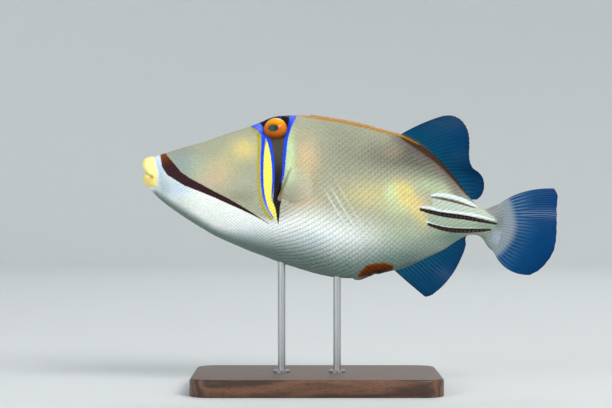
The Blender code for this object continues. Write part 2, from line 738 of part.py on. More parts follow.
def main():
    for found in list(bpy.data.objects):
        bpy.data.objects.remove(found)
    make_lips()
    make_head()
    make_eyes()
    make_trunk()
    make_spiny_dorsal()
    make_pelvic_stub()
    make_tail_stem()
    make_soft_dorsal()
    make_anal_fin()
    make_tail_fin()
    make_pectorals()
    make_stand()


main()
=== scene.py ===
"""Looks of the picasso triggerfish: skin, scales, fins, eyes, stand and studio.

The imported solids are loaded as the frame, in metres, with the lips to -X and the left side
to -Y. Along the fish, s is the distance behind the lips, y the distance to its right and h
the height above the level line through its middle, all in millimetres.
"""

import math

import bmesh
import bpy
import numpy as np
from bpy.props import FloatProperty, FloatVectorProperty, IntProperty, PointerProperty
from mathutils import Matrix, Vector


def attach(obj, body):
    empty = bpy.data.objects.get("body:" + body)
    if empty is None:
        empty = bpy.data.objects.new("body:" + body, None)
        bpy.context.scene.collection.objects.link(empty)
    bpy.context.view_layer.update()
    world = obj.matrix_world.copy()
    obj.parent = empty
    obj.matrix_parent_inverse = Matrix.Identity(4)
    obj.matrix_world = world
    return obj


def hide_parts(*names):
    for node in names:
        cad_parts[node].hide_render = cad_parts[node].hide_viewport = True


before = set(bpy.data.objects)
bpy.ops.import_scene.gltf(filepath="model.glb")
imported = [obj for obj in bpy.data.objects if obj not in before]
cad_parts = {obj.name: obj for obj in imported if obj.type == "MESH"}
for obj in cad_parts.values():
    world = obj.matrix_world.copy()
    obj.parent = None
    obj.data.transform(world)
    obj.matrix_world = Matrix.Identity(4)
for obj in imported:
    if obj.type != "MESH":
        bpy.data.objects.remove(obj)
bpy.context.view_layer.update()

bl_info = {
    "name": "Picasso triggerfish",
    "version": (1, 0, 0),
    "blender": (4, 5, 0),
    "location": "3D View > Sidebar > Triggerfish",
    "description": "Dresses the solids of a life-size triggerfish on its display stand",
    "category": "Add Mesh",
}

MM = 0.001
TOTAL_LENGTH = 240.0
DATUM_HEIGHT = 107.0
LEFT, RIGHT = -1, 1

# Side outline of head, trunk and tail stem, as (s, h)
BACK_LINE = [
    (8.7, 28.0), (15.6, 30.3), (33, 35.2), (50, 41.0), (62, 44.8), (69, 47.6), (75, 49.8),
    (82, 50.8), (93, 51.0), (105, 50.1), (117, 48.5), (128, 46.0), (140, 42.6), (148.5, 40.2),
    (155, 37.0), (162.7, 32.3), (170.2, 26.0), (178.3, 17.3), (185.2, 8.1), (190, 2.1),
    (193.3, -1.2), (197, -2.6), (201.4, -0.9), (207, 2.0), (214, 5.0),
]
BELLY_LINE = [
    (8.0, 4.1), (12.1, 0.7), (21.3, -5.8), (33, -13.3), (45, -20.0), (58, -25.6), (72, -31.1),
    (86, -36.0), (99.5, -40.0), (110.5, -42.3), (119, -42.8), (126, -42.6), (133, -41.4),
    (139, -39.6), (145, -38.2), (153.5, -35.3), (165, -30.5), (173.7, -26.2), (180, -21.9),
    (186, -18.7), (191, -17.8), (196.2, -19.9), (200.2, -24.6), (204.3, -27.6), (214, -31.5),
]

# Cross-sections by s: half width, the share of the depth at which the body is widest, and
# how sharp it is towards back and belly
HALF_WIDTH = [
    (8.7, 6.5), (15, 8.3), (30, 11.7), (45, 14.7), (60, 17.3), (75, 19.5), (90, 20.9),
    (105, 21.2), (120, 20.2), (135, 18.0), (150, 14.8), (163, 11.5), (175, 8.7), (186, 6.4),
    (196, 4.6), (203, 3.1), (208, 2.2), (214, 1.6),
]
WIDEST_SHARE = [(8.7, 0.42), (40, 0.46), (80, 0.49), (110, 0.50), (214, 0.50)]
BACK_TAPER = [(8.7, 0.95), (45, 0.86), (70, 0.72), (90, 0.76), (115, 1.02), (160, 1.1), (214, 1)]
BELLY_TAPER = [(8.7, 1.0), (50, 1.15), (90, 1.3), (130, 1.3), (160, 1.1), (214, 1)]

# Loops of the lips from inside the mouth outwards: top, corner and bottom as (s, h), and
# the half width at the corner
LIP_LOOPS = [
    ((5.4, 17.0), (6.2, 16.2), (5.2, 15.6), 1.8),
    ((2.4, 18.9), (5.7, 15.6), (2.4, 17.4), 4.4),
    ((0.9, 20.6), (5.8, 15.3), (0.9, 16.9), 5.1),
    ((0.0, 22.9), (6.1, 15.1), (0.4, 15.5), 5.6),
    ((1.0, 25.4), (6.5, 14.9), (0.8, 13.3), 6.0),
    ((3.0, 26.6), (7.1, 14.6), (2.1, 10.8), 6.1),
    ((5.0, 27.1), (7.8, 14.2), (4.2, 8.5), 5.9),
    ((6.6, 27.3), (8.4, 14.0), (6.1, 6.4), 5.9),
]
LIP_ROWS = 6 * len(LIP_LOOPS)
BODY_START = 8.7

# The skin ends on the tail fin's root, along a slanted and bulging line, and draws in before it
STEM_END = (206.7, -12.5, 0.154)
STEM_BULGE = 3.4
STEM_HALF_DEPTH = 15.5
STEM_LEANS_FROM = 190.0
STEM_DRAWN_IN = 0.95
STEM_CLOSING = (1.8, (0.35, 0.65, 0.85, 0.97))

# Spacing of the skin's loops, as where a span starts and ends in s and its step
LOOP_SPANS = ((BODY_START, 95, 0.52), (95, 156, 0.9), (156, 200, 0.62), (200, STEM_END[0], 0.5))
STATION_STEP = 0.5
STATIONS_END = 213.0

# Eye: centre of the right ball and the middle of its pupil from there
EYE_RADIUS = 7.0
EYE_CENTRE = (76.9, 9.6, 42.2)
EYE_SOCKET_DEPTH = 1.4
EYE_RIM_GAP = 2.8
PUPIL_FACING = (-1.5, 6.7, 1.0)
PUPIL_SIZE = (2.45, 1.65)
PUPIL_SUNK = 0.3
NOSTRILS = [(67.0, 39.6), (68.6, 41.4)]
NOSTRIL_PROFILE = [
    (0.05, -0.9), (0.28, -0.7), (0.31, -0.2), (0.35, 0.18), (0.46, 0.28), (0.66, 0.22), (0.95, 0.0),
    (1.2, -0.5), (0.7, -1.1), (0.05, -1.2),
]
NOSTRIL_HOLE = 0.4
MOUTH_CORNER = (5.6, 15.4)
VENT = (133.9, -41.4)

# Pits and swellings of the skin, as (s, h), height and reach: at the vent, the pectoral fin's
# root and the mouth's corner, and ahead of the eye, where the ridge of the head stays plain
SKIN_SPOTS = [(VENT, -0.7, 1.7), ((83.6, 1.6), 0.5, 2.6), ((6.6, 14.6), -0.5, 1.2)]
SPOTS_AHEAD_OF_EYE = [(spot, -1.3, 0.9) for spot in NOSTRILS] + [((70.5, 36.8), -0.5, 1.6)]
RIDGE_HALF = 3.0

# Lines on each side, as (s, h, width)
SNOUT_STRIPE = [
    (11.2, 31.0, 2.6), (11.7, 28.7, 3.0), (12.6, 26.6, 4.3), (14.6, 22.6, 6.6), (17.2, 19.2, 7.2),
    (20.9, 16.1, 5.7), (25.7, 12.9, 5.2), (33.0, 9.6, 4.3), (40.8, 5.9, 3.3), (48.5, 2.3, 2.9),
    (55.8, -1.4, 2.1), (63.7, -5.6, 1.2), (68.4, -8.3, 0.6), (73.2, -11.3, 0.3),
]
OLIVE_LINE = [
    (62.3, 44.0, 1.4), (65.6, 41.6, 1.9), (67.5, 38.1, 2.0), (67.4, 30.0, 1.8), (67.0, 22.0, 1.7),
    (67.1, 14.0, 1.5), (67.6, 7.0, 1.5), (68.6, 1.5, 1.6), (70.0, -2.6, 1.7), (72.2, -6.1, 1.7),
    (74.4, -8.6, 1.4),
]
FRONT_BLUE = [
    (64.2, 49.0, 5.4), (64.9, 45.8, 5.2), (67.9, 43.2, 3.8), (69.8, 39.4, 2.6), (69.7, 34.0, 2.0),
    (69.2, 27.0, 1.8), (69.1, 17.0, 1.7), (69.4, 10.0, 1.4), (70.1, 4.6, 1.4), (71.3, 0.0, 1.3),
    (72.7, -3.8, 1.2), (75.4, -7.6, 0.8),
]
YELLOW_WEDGE = [
    (72.0, 35.6, 0.2), (72.1, 33.0, 2.2), (72.2, 28.6, 3.8), (72.4, 24.0, 4.8), (72.4, 17.0, 5.6),
    (72.5, 10.0, 5.1), (72.9, 4.0, 4.2), (74.0, -1.0, 3.6), (75.3, -3.8, 3.4), (76.2, -6.0, 2.6),
    (77.0, -9.0, 0.8),
]
SECOND_BLUE = [
    (70.2, 42.7, 2.6), (71.4, 39.6, 2.4), (72.6, 37.2, 2.0), (73.3, 35.0, 2.0), (74.1, 31.5, 1.9),
    (75.0, 27.0, 1.8), (75.5, 21.5, 1.6), (75.6, 14.0, 1.4), (75.2, 9.0, 1.1), (74.8, 4.6, 0.8),
    (74.9, 1.0, 0.5),
]
BLACK_BAR = [
    (77.6, 44.5, 13.4), (77.9, 38.5, 12.2), (78.1, 33.5, 8.8), (78.5, 28.0, 6.8), (78.6, 22.0, 5.9),
    (78.5, 16.0, 5.0), (78.2, 12.0, 4.6), (77.9, 8.0, 4.2), (77.5, 4.6, 3.9), (77.7, 1.5, 4.8),
    (77.9, -1.4, 2.9), (78.1, -4.0, 2.2), (78.2, -7.5, 1.5), (78.3, -11.5, 0.4),
]
REAR_BLUE = [
    (87.0, 53.1, 4.6), (86.6, 50.0, 3.8), (85.7, 47.0, 2.9), (84.8, 44.4, 2.2), (83.9, 41.0, 1.9),
    (83.0, 37.8, 1.9), (82.4, 34.0, 1.9), (82.0, 29.0, 1.8), (81.6, 23.0, 1.6), (81.3, 17.5, 1.3),
    (80.6, 14.0, 1.1), (80.1, 12.0, 0.5),
]
BROW_BLUE = [(71.9, 49.9, 1.0), (74.6, 51.2, 2.2), (78.2, 52.0, 2.4), (80.6, 51.9, 1.6)]
BROW_BLACK = [
    (67.8, 46.6, 2.8), (70.2, 46.6, 5.4), (76.0, 48.6, 7.6), (82.0, 49.6, 7.0), (84.0, 51.6, 4.6),
    (84.4, 46.6, 3.2),
]
CROWN_BLUE = [[(s, 48.6, 0.7), (s, 53.0, 0.9)] for s in (72.2, 75.6, 79.4)]

# Lines along the ridge of the back: width by s, measured down from the back line
BACK_EDGE = [
    (84, -3), (89, 0.5), (94, 1.5), (106, 2.3), (122, 2.5), (140, 2.1), (150, 1.3), (158, 0.7),
    (166, -3),
]
DORSAL_BASE_LINE = [
    (140, -3), (145, 1.0), (151, 3.0), (157, 3.7), (163, 3.7), (170, 2.9), (178, 2.1), (186, 1.1),
    (191, -0.3), (195, -3),
]

# Patch round the vent, as (s, h, width), and how far its orange rim reaches in
VENT_PATCH = [
    (124.8, -41.4, 1.8), (127.2, -39.6, 4.6), (130.4, -38.4, 7.6), (134.5, -37.8, 8.2),
    (139.0, -37.2, 7.4), (142.2, -36.8, 4.8),
]
VENT_RIM = 0.9
GILL_SLIT = [(84.0, 18.2, 0.3), (82.0, 13.0, 0.9), (80.0, 6.8, 1.2), (78.8, 2.4, 0.9)]
GILL_SLIT_DEPTH = 1.3
# Below this height the gill slit is painted dark, as painted shade in its groove
GILL_SLIT_DARK_TO = 9.0

# Pale ground of the rows of spines, its front edge as (h, s) and its rear end
STEM_PANEL = [
    (168.0, -4.8, 17.5), (180.0, -5.8, 17.9), (191.6, -8.1, 14.4), (199.5, -10.4, 8.0),
    (203.0, -10.2, 3.5),
]
PANEL_FRONT = [(-9.0, 163.6), (-1.0, 166.4)]
PANEL_END = 204.0
STEM_WHITE = [
    [(165.6, 4.9, 1.2), (171.4, 5.3, 2.1), (177.1, 4.4, 2.3), (182.9, 2.8, 2.3), (188.7, 0.3, 2.3),
     (192.7, -1.6, 0.9)],
    [(159.3, -1.7, 0.9), (164.4, -2.0, 1.6), (170.2, -3.9, 1.4), (180.0, -5.0, 1.5),
     (188.7, -6.0, 1.8), (196.2, -7.5, 1.3), (202.4, -9.3, 0.6)],
    [(162.7, -10.1, 0.9), (166.8, -11.5, 0.7), (172.5, -12.8, 0.4), (180.0, -13.6, 0.2),
     (191.6, -13.7, 0.1), (197.0, -13.5, -0.2)],
]

# Rows of small spines on the tail stem, as (s, h), and how many spines each has
SPINE_ROWS = [
    ([(166.0, 4.0), (172.5, 2.9), (178.3, 1.6), (191.4, -2.2)], 12),
    ([(159.6, -3.2), (171.4, -5.9), (184.1, -7.6), (203.6, -11.4)], 20),
    ([(164.0, -11.6), (173.5, -14.4), (186.0, -15.4), (200.0, -14.8)], 16),
]
ROW_WIDTHS = (1.4, 2.8, 2.6)
THORN_HEIGHT = 1.5
THORN_SUNK = 0.6
THORN_RADIUS = 0.88
THORN_FORWARD = 0.91
THORN_SIDES = 8
THORN_LOOPS = 7
KEEL_HEIGHT = 0.35

# Straight folds of skin behind the pectoral fin: how they slant, and their places across
FOLD_SLANT = (0.859, 0.512)
FOLD_PLACES = (93.8, 97.5, 101.8)
FOLD_HEIGHT = 0.28

# Upper edge of the pale chin and belly as (s, h), and how soft it is by s
PALE_EDGE = [
    (6.0, 32.0), (12.1, 25.0), (18.5, 16.7), (36.4, 7.5), (51.4, 0.6), (62.3, -4.6),
    (72.1, -9.4), (90.6, -3.8), (113.7, -9.4), (136.7, -16.2), (165.6, -20.8), (214, -22),
]
PALE_SOFTNESS = [(8, 1.0), (66, 1.2), (80, 5.0), (95, 10), (130, 13), (214, 9)]

# How far the lips reach back, as s by h, and where the lower lip ends
LIP_EDGE = [(4.0, 7.6), (10.0, 8.2), (14.0, 8.8), (18.5, 8.9), (23.0, 7.6), (27.5, 6.0), (31, 5.4)]
LIP_BOTTOM = 9.8

# How far up from the belly line the painted shade along the keel reaches, by s
KEEL_REACH = [
    (8, 6), (30, 8), (45, 8), (60, 14), (75, 21), (90, 27), (110, 28), (125, 28), (138, 28),
    (150, 24), (160, 17), (170, 12), (190, 8), (214, 6),
]

# Soft tints, each a list of patches as (s, h, reach along, reach up, strength)
TINTS = {
    # Rose, gold, mint and sky: partly the skin's own tints, partly its pearly sheen painted into the
    # colour in fixed places
    "rose": [
        (95.2, 26.0, 7, 12, 0.8), (42.1, 15.0, 9, 7, 0.9), (92, 2.0, 10, 6, 0.7),
        (158, -1.0, 4, 5, 0.7), (143, 29, 6, 4, 0.3),
    ],
    "gold": [
        (58.9, 31.2, 8, 6, 1.0), (131, 5.0, 17, 8, 0.5), (146, 10, 4, 5, 0.5),
        (150.5, 4.5, 5, 6, 1.6), (157, -2, 4, 6, 1.0), (161, -9, 3, 4, 0.6),
        (47, 22, 8, 6, 0.4), (93, 24, 5, 12, 0.5),
    ],
    "mint": [
        (32.0, 20.0, 9, 7, 0.25), (142.4, 6.1, 4, 6, 0.75), (84.9, 27.0, 2.8, 14, 1.3),
        (163, 11, 8, 4, 0.45), (146, -3, 8, 5, 0.4), (86, 14, 5, 5, 0.5), (172, 6, 5, 4, 0.5),
    ],
    "sky": [
        (9.8, 20.6, 4, 8, 1.2), (20, 9.0, 9, 5, 0.9), (96.4, -22.0, 20, 8, 0.4),
        (60, -18, 16, 7, 0.3), (78, 2, 4, 10, 0.3), (24, 24, 8, 6, 0.4), (204, -19, 4, 5, 0.5),
    ],
    "sage": [(147, -16, 12, 9, 0.62), (174, -19, 9, 6, 0.7)],
    # Grey olive of the back: partly the skin's own colour, partly painted shade darkening the rear of
    # the back
    "olive_and_painted_shade": [
        (118, 29, 20, 16, 0.4), (139, 27, 13, 8, 0.55), (155, 27, 13, 11, 0.75),
        (141, 14, 14, 6, 0.12), (161, 28, 8, 6, 0.6), (168, 17, 9, 8, 0.6), (181, 6, 8, 6, 0.3),
        (21.0, 28.0, 14, 6, 0.25), (57, 4.5, 8, 4, 0.3),
    ],
    "mauve": [(176, 20, 4, 6, 0.3)],
    # Patches of the keel's grey green: partly painted shade, partly the skin's own darker grey
    "shade": [
        (12, 9, 5, 8, 0.4), (23, 21, 9, 9, 0.35), (21, 0, 9, 5, 0.2), (106, 41, 22, 8, 0.15),
        (160, -23, 7, 5, 0.3), (170, -19, 10, 5, 0.5), (180, -18, 7, 4, 0.6),
        (196, -12, 6, 3, 0.4), (199, -17, 4, 4, 0.5), (130, -27, 9, 8, 0.25), (205, -11, 5, 4, 0.5),
    ],
    "lilac": [(67, 43.5, 3, 4, 0.45), (73, -4, 4, 7, 0.75), (87, 50, 3, 5, 0.2)],
}

# Scales: half a scale's length and half its height by s
SCALE_LENGTH = [
    (8.7, 0.95), (40, 1.1), (75, 1.15), (92, 1.55), (110, 1.8), (150, 1.7), (175, 1.4), (212, 1.0),
]
SCALE_DEPTH = [
    (8.7, 0.85), (40, 1.0), (75, 1.05), (92, 1.4), (110, 1.65), (150, 1.55), (175, 1.2), (212, 0.9),
]
SCALES_END = 207.5
LARGEST_SCALE = 1.65
SCALE_SIDES = 8
SCALE_PATCH = 0.0015
# How far from each of these no scale grows
BARE_MARGINS = {"lips": 1.5, "eye": 2.4, "slit": 0.9, "nostril": 1.8, "vent": 3.0}

# Soft tints of the skin in the order in which they are laid on, with their strengths. The tint along
# the keel is painted shade, the back's grey olive partly painted shade and rose, gold, mint and sky
# partly painted sheen
GROUND_TINTS = {
    "olive_and_painted_shade": 0.9, "gold": 0.75, "mint": 0.85, "belly": 0.97, "rose": 0.6, "sage": 0.9,
    "mauve": 0.75, "tail_flesh": 0.9, "sky": 0.7, "keel": 0.92,
}
# Sharp markings in the order in which they are laid on, with the softness of their edges in mm
SHARP_MARKINGS = {
    "white": 0.35, "row_faint": 0.4, "row": 0.3, "olive": 0.45, "yellow": 0.3, "bar": 0.3,
    "blue": 0.25, "stripe": 0.25, "dorsal_base": 0.9, "back_edge": 0.5, "vent_rim": 0.5,
    "slit": 0.4, "lip": 0.8,
}

# Flat unwrap of the skin: the length it spans in mm, and the widest line's place on each side
UNWRAP_LENGTH = 265.0
UNWRAP_MIDDLES = {LEFT: 0.74, RIGHT: 0.26}

# Folded first dorsal fin: start and end of each spine, its radius and its place aside, and the
# groove without scales, as start and end in s, half width and lowest h
FOLDED_SPINES = [(96.0, 117.5, 1.7, 0.0), (102.0, 120.0, 1.3, 0.9), (111.0, 122.0, 1.1, -0.8)]
SPINE_GROOVE = (94.0, 123.0, 2.8, 40.0)
PELVIC_STUB = (121.5, 129.5)
PELVIC_STUB_RADIUS = 1.5

# Soft dorsal and anal fins: root along the body, count of rays, tips of the rays, how far
# the first ray bows, and the wave from side to side as height, turns and phase
DORSAL_FIN = {
    "line": BACK_LINE,
    "root": (148.8, 189.6),
    "rays": 25,
    "margin": [
        (173.0, 50.8), (176.5, 51.4), (180.2, 50.9), (184.0, 48.7), (186.8, 44.8), (188.2, 39.8),
        (188.2, 34.0), (187.8, 28.3), (188.3, 23.7), (190.0, 20.4), (193.2, 18.2), (195.8, 15.2),
        (196.9, 11.5), (196.7, 8.0), (195.2, 4.6), (193.0, 2.6),
    ],
    "bow": 2.0,
    "wave": (5.5, 1.05, 0.12),
}
ANAL_FIN = {
    "line": BELLY_LINE,
    "root": (145.0, 186.6),
    "rays": 22,
    "margin": [
        (161.3, -51.9), (162.9, -53.3), (165.4, -52.8), (169.4, -50.0), (175.4, -44.4),
        (180.4, -38.0), (183.8, -31.6), (185.8, -26.4), (186.4, -22.6), (185.6, -19.8),
    ],
    "bow": -0.6,
    "wave": (-4.5, 0.95, 0.05),
}
ROOT_SUNK = 1.6

# Tail fin
TAIL_ROOT = [(209.3, 2.5), (204.6, -28.0)]
TAIL_RAYS = 12
TAIL_MARGIN = [
    (238.0, 9.0), (239.4, 7.2), (239.5, -3.0), (239.3, -12.0), (238.9, -20.0), (237.6, -27.0),
    (234.0, -33.4), (229.2, -38.4), (224.0, -41.2),
]
TAIL_TOP_BEND = (219.0, 9.6)
TAIL_BOTTOM_BEND = (207.4, -41.0)
TAIL_CURVE = 5.0
TAIL_RIPPLE = 1.5
TAIL_SUNK = (2.8, 1.8)
TAIL_FORKS = ((-0.35, 0.3), (0.1, 0.75))
TAIL_PALE_RAY = 3
TAIL_EXTRA_ROWS = 24
# Share of the tail's rays under flesh, at the margins, and how much more at the middle
TAIL_FLESH = (0.08, 0.13)

# Pectoral fins
PECTORAL_ROOT = [(77.8, 3.0), (83.6, 0.4)]
PECTORAL_RAYS = 13
PECTORAL_ANGLES = (67.5, 18.0)
PECTORAL_SPREAD = (27.0, 20.0)
PECTORAL_LENGTHS = [(0.0, 21.0), (0.25, 24.5), (0.6, 22.0), (1.0, 15.0)]
PECTORAL_CUP = 2.2
PECTORAL_BAND = 2.2
PECTORAL_WIDENING = 20.0
WEB_NOTCH = 0.007

# Stand
BASE_SIZE = (142.0, 90.0, 10.0)
BASE_CORNER = 12.0
BASE_EDGE = 1.5
BASE_MIDDLE = 100.0
ROD_PLACES = {"stand_rod_front": 80.0, "stand_rod_rear": 112.0}
ROD_RADIUS = 2.2
ROD_IN_BODY = 6.0
ROD_IN_BASE = 6.0
COLLAR = [(4.6, 0.0), (4.8, 0.2), (4.8, 1.0), (4.4, 1.4), (2.55, 1.5), (ROD_RADIUS, 1.35)]
SHARP_ANGLE = math.radians(35)

# Camera: level, straight onto the left side, with this much of the fish's plane in view
VIEW_MIDDLE = (-25.95, 107.0)
VIEW_WIDTH = 353.1
CAMERA_DISTANCE = 1000.0
SENSOR_WIDTH = 36.0

# Studio, in metres
FLOOR_RADIUS = 2.0
BEND_RADIUS = 0.9
WALL_HEIGHT = 2.6


def linear(code):
    """Linear red, green, blue and alpha of an sRGB hex colour."""
    channels = [int(code[i : i + 2], 16) / 255 for i in (1, 3, 5)]
    spread = [c / 12.92 if c <= 0.04045 else ((c + 0.055) / 1.055) ** 2.4 for c in channels]
    return (*spread, 1.0)


def paint(name, code, description):
    """Colour property with that hex colour as its default."""
    limits = {"size": 4, "min": 0, "max": 1}
    return FloatVectorProperty(
        name=name, description=description, subtype="COLOR", default=linear(code), **limits
    )


class TriggerfishSkinColours(bpy.types.PropertyGroup):
    """Colours of the skin's ground and markings."""

    cheek: paint("Cheek", "#ADAE96", "Ground colour of cheek and flank")
    belly: paint("Belly", "#F6FBF6", "Chin and belly")
    # The four sheen colours below are partly painted sheen, partly the skin's own tints
    rose: paint("Rose", "#E0BC99", "Warm sheen on cheek and shoulder")
    gold: paint("Gold", "#ECD67E", "Yellow sheen on the flank")
    mint: paint("Mint", "#CDE8B2", "Green sheen")
    sky: paint("Sky", "#B4CFF0", "Pale blue sheen behind the lips and on the belly")
    sage: paint("Sage", "#9DB48F", "Grey green of the rear flank's lower part")
    # Grey olive of the back, laid on partly as the skin's own colour and partly as painted shade
    olive_and_painted_shade: paint("Dusk", "#4E4F44", "Grey olive of the back")
    mauve: paint("Mauve", "#635559", "Grey mauve along the soft dorsal fin")
    # Painted shade: grey green laid along the keel and in the patches of the shade tint
    keel: paint("Keel", "#5C766F", "Grey green shade of keel and snout")
    tail_flesh: paint("Tail flesh", "#83878C", "Blue grey of the tail stem's end")
    stripe: paint("Snout stripe", "#300A10", "Maroon stripe from snout to chest")
    stripe_top: paint("Stripe top", "#7D4208", "Orange brown at the stripe's upper end")
    olive: paint("Olive line", "#B3A93A", "Thin line ahead of the blue")
    blue: paint("Blue lines", "#0A48E4", "Bright lines beside the yellow wedge and the bar")
    lilac: paint("Lilac", "#95A4FA", "Paler parts of the blue lines")
    yellow: paint("Yellow wedge", "#FFF562", "Wedge between the blue lines")
    bar: paint("Bar", "#1A0A0F", "Lower part of the bar below the eye")
    bar_top: paint("Bar top", "#48443A", "Olive grey upper part of the bar")
    lip: paint("Upper lip", "#FBEE9C", "Fleshy upper lip")
    lip_low: paint("Lower lip", "#F0D880", "Fleshy lower lip and the mouth's corner")
    # Painted shade in the recess at the mouth's corner
    mouth_corner_shade: paint("Lip creases", "#A98A3C", "Slit of the mouth")
    back_edge: paint("Back edge", "#AC7600", "Ochre ridge of the back")
    dorsal_base: paint("Dorsal base", "#432A10", "Brown line along the soft dorsal fin")
    vent: paint("Vent patch", "#662A00", "Red brown patch round the vent")
    vent_rim: paint("Vent rim", "#855000", "Orange rim of that patch")
    vent_dark: paint("Vent dark", "#090505", "Dark lower edge of the vent patch")
    panel: paint("Stem panel", "#BCC7B8", "Pale ground of the tail stem's upper spine rows")
    panel_low: paint("Stem panel's lower half", "#9FB09A", "Ground below the middle row of spines")
    white: paint("White bands", "#DAE7EA", "Bands above the rows of spines")
    row: paint("Spine rows", "#250D11", "Dark lines and spines on the tail stem")
    row_faint: paint("Upper spine row", "#5E4A40", "Brown line of the uppermost spines")


class TriggerfishFinColours(bpy.types.PropertyGroup):
    """Colours of fins, folded spines and eyes."""

    web: paint("Web", "#003F5E", "Clear teal web of the dorsal and anal fin")
    web_edge: paint("Web edge", "#002C55", "That web towards the margin")
    ray: paint("Rays", "#0E6478", "Rays of dorsal and anal fin")
    tail_web: paint("Tail web", "#004A74", "Clear blue web of the tail fin")
    tail_web_edge: paint("Tail web edge", "#003365", "That web towards the margin")
    tail_ray: paint("Tail rays", "#8E98A8", "Pale rays at the tail fin's root")
    tail_flesh: paint("Tail flesh", "#808B94", "Flesh on the tail fin's root")
    pectoral_web: paint("Pectoral web", "#D6D8C4", "Clear web of the pectoral fins")
    pectoral_ray: paint("Pectoral rays", "#857A54", "Rays and leading edge of the pectoral fins")
    spine: paint("Folded spines", "#B07406", "First dorsal fin, folded in the back")
    iris_top: paint("Iris top", "#F8AE00", "Upper part of the iris")
    iris_side: paint("Iris sides", "#DC7A00", "Middle of the iris")
    iris_low: paint("Iris bottom", "#8A4000", "Lower part of the iris")
    iris_ring: paint("Iris ring", "#C85400", "Ring close round the pupil")
    # Painted reflection: the pupil's deep green glint is laid into its colour
    pupil: paint("Pupil", "#0A4438", "Deep green glint of the pupil")


class TriggerfishSizes(bpy.types.PropertyGroup):
    """Fineness and relief of the pieces."""

    around: IntProperty(name="Around", description="Columns round the skin", default=256, min=32)
    scale_rise: FloatProperty(
        name="Scale rise",
        description="Height of a flank scale's middle over its edge, in millimetres",
        default=0.085,
        min=0,
    )
    eye_rim: FloatProperty(
        name="Eye rim",
        description="Height of the skin's rim round the eye, in millimetres",
        default=0.3,
    )
    ray_columns: IntProperty(
        name="Ray columns", description="Columns of each fin ray and the web beside it", default=8
    )
    fin_rows: IntProperty(
        name="Fin rows", description="Rows from a fin's root to its margin", default=56
    )


class TriggerfishStage(bpy.types.PropertyGroup):
    """Backdrop, light and camera."""

    backdrop: paint("Backdrop", "#DDE1E2", "Matt paint of the studio floor and wall")
    key_power: FloatProperty(name="Key", description="Main light", default=44, unit="POWER")
    fill_power: FloatProperty(
        name="Fill", description="Light from the left", default=18, unit="POWER"
    )
    rim_power: FloatProperty(
        name="Rim", description="Light from behind and above", default=10, unit="POWER"
    )
    world_strength: FloatProperty(name="Sky", description="Even light from all round", default=0.42)


def full_turn(count):
    """Angles evenly round a circle."""
    return np.linspace(0, 2 * math.pi, count, endpoint=False)


def place(points):
    """World points, in metres, of (s, y, h) points."""
    s, y, h = np.moveaxis(np.asarray(points, float), -1, 0)
    return np.stack([s - TOTAL_LENGTH / 2, y, DATUM_HEIGHT + h], -1) * MM


def smooth(knots, x):
    """Values at x of a smooth curve through (x, value) knots."""
    xs, ys = np.array(knots, float).T
    slopes = np.gradient(ys, xs)
    x = np.asarray(x, float)
    i = np.clip(np.searchsorted(xs, x) - 1, 0, len(xs) - 2)
    width = xs[i + 1] - xs[i]
    t = np.clip((x - xs[i]) / width, 0, 1)
    value = ys[i] * (1 + 2 * t) * (1 - t) ** 2 + ys[i + 1] * t * t * (3 - 2 * t)
    return value + width * (slopes[i] * t * (1 - t) ** 2 - slopes[i + 1] * t * t * (1 - t))


def along(points, share):
    """Points at shares of the length of a smooth line through the points."""
    line = np.array(points, float)
    lengths = np.r_[0, np.cumsum(np.linalg.norm(np.diff(line, axis=0), axis=1))]
    at = np.asarray(share) * lengths[-1]
    return np.stack([smooth(np.c_[lengths, column], at) for column in line.T], -1)


def curve_to(start, bend, end, r):
    """Points at r on the curve that leaves start towards bend and ends at end."""
    r = r[..., None]
    return start * (1 - r) ** 2 + bend * 2 * r * (1 - r) + end * r * r


def blend(pair, share):
    """Value at a share of the way from the first of a pair to the second."""
    return pair[0] * (1 - share) + pair[1] * share


def ease(low, high, x):
    """0 up to low, 1 from high on and an S-curve between."""
    t = np.clip((np.asarray(x, float) - low) / (high - low), 0, 1)
    return t * t * (3 - 2 * t)


def bell(x, reach):
    """1 at 0, falling off within the reach."""
    return np.exp(-((x / reach) ** 2))


def wavy(x, y, seed, size):
    """Smooth ripple between -1 and 1 over a plane, with waves of about that size."""
    random = np.random.default_rng(seed)
    total = np.zeros(np.broadcast(x, y).shape)
    for _ in range(7):
        angle, phase = random.uniform(0, 2 * math.pi, 2)
        rate = 2 * math.pi / size * random.uniform(0.6, 1.5)
        total += np.sin(rate * (x * math.cos(angle) + y * math.sin(angle)) + phase)
    return total / 4


def body_rows(s):
    """Sizes of the body's loops at s: top, corner and bottom as s and h, half width, tapers."""
    back, belly = smooth(BACK_LINE, s), smooth(BELLY_LINE, s)
    widest = blend((belly, back), smooth(WIDEST_SHARE, s))
    drawn_in = STEM_DRAWN_IN * ease(STEM_END[0] - 6, STEM_END[0] + 0.2, s)
    half = smooth(HALF_WIDTH, s) * (1 - drawn_in)
    tapers = smooth(BACK_TAPER, s), smooth(BELLY_TAPER, s)
    return np.stack([s, back, s, widest, s, belly, half, *tapers], -1)


def around(rows, angles):
    """(s, y, h) at angles round loops, from the ridge down the left side to the keel."""
    share, upper = np.abs(np.cos(angles)), np.cos(angles) >= 0
    end_s = np.where(upper, rows[..., 0], rows[..., 4])
    end_h = np.where(upper, rows[..., 1], rows[..., 5])
    taper = np.where(upper, rows[..., 7], rows[..., 8])
    aside = rows[..., 6] * np.abs(np.sin(angles)) ** taper * np.sign(np.sin(angles))
    s = blend((rows[..., 2], end_s), share)
    return np.stack([s, -aside, blend((rows[..., 3], end_h), share)], -1)


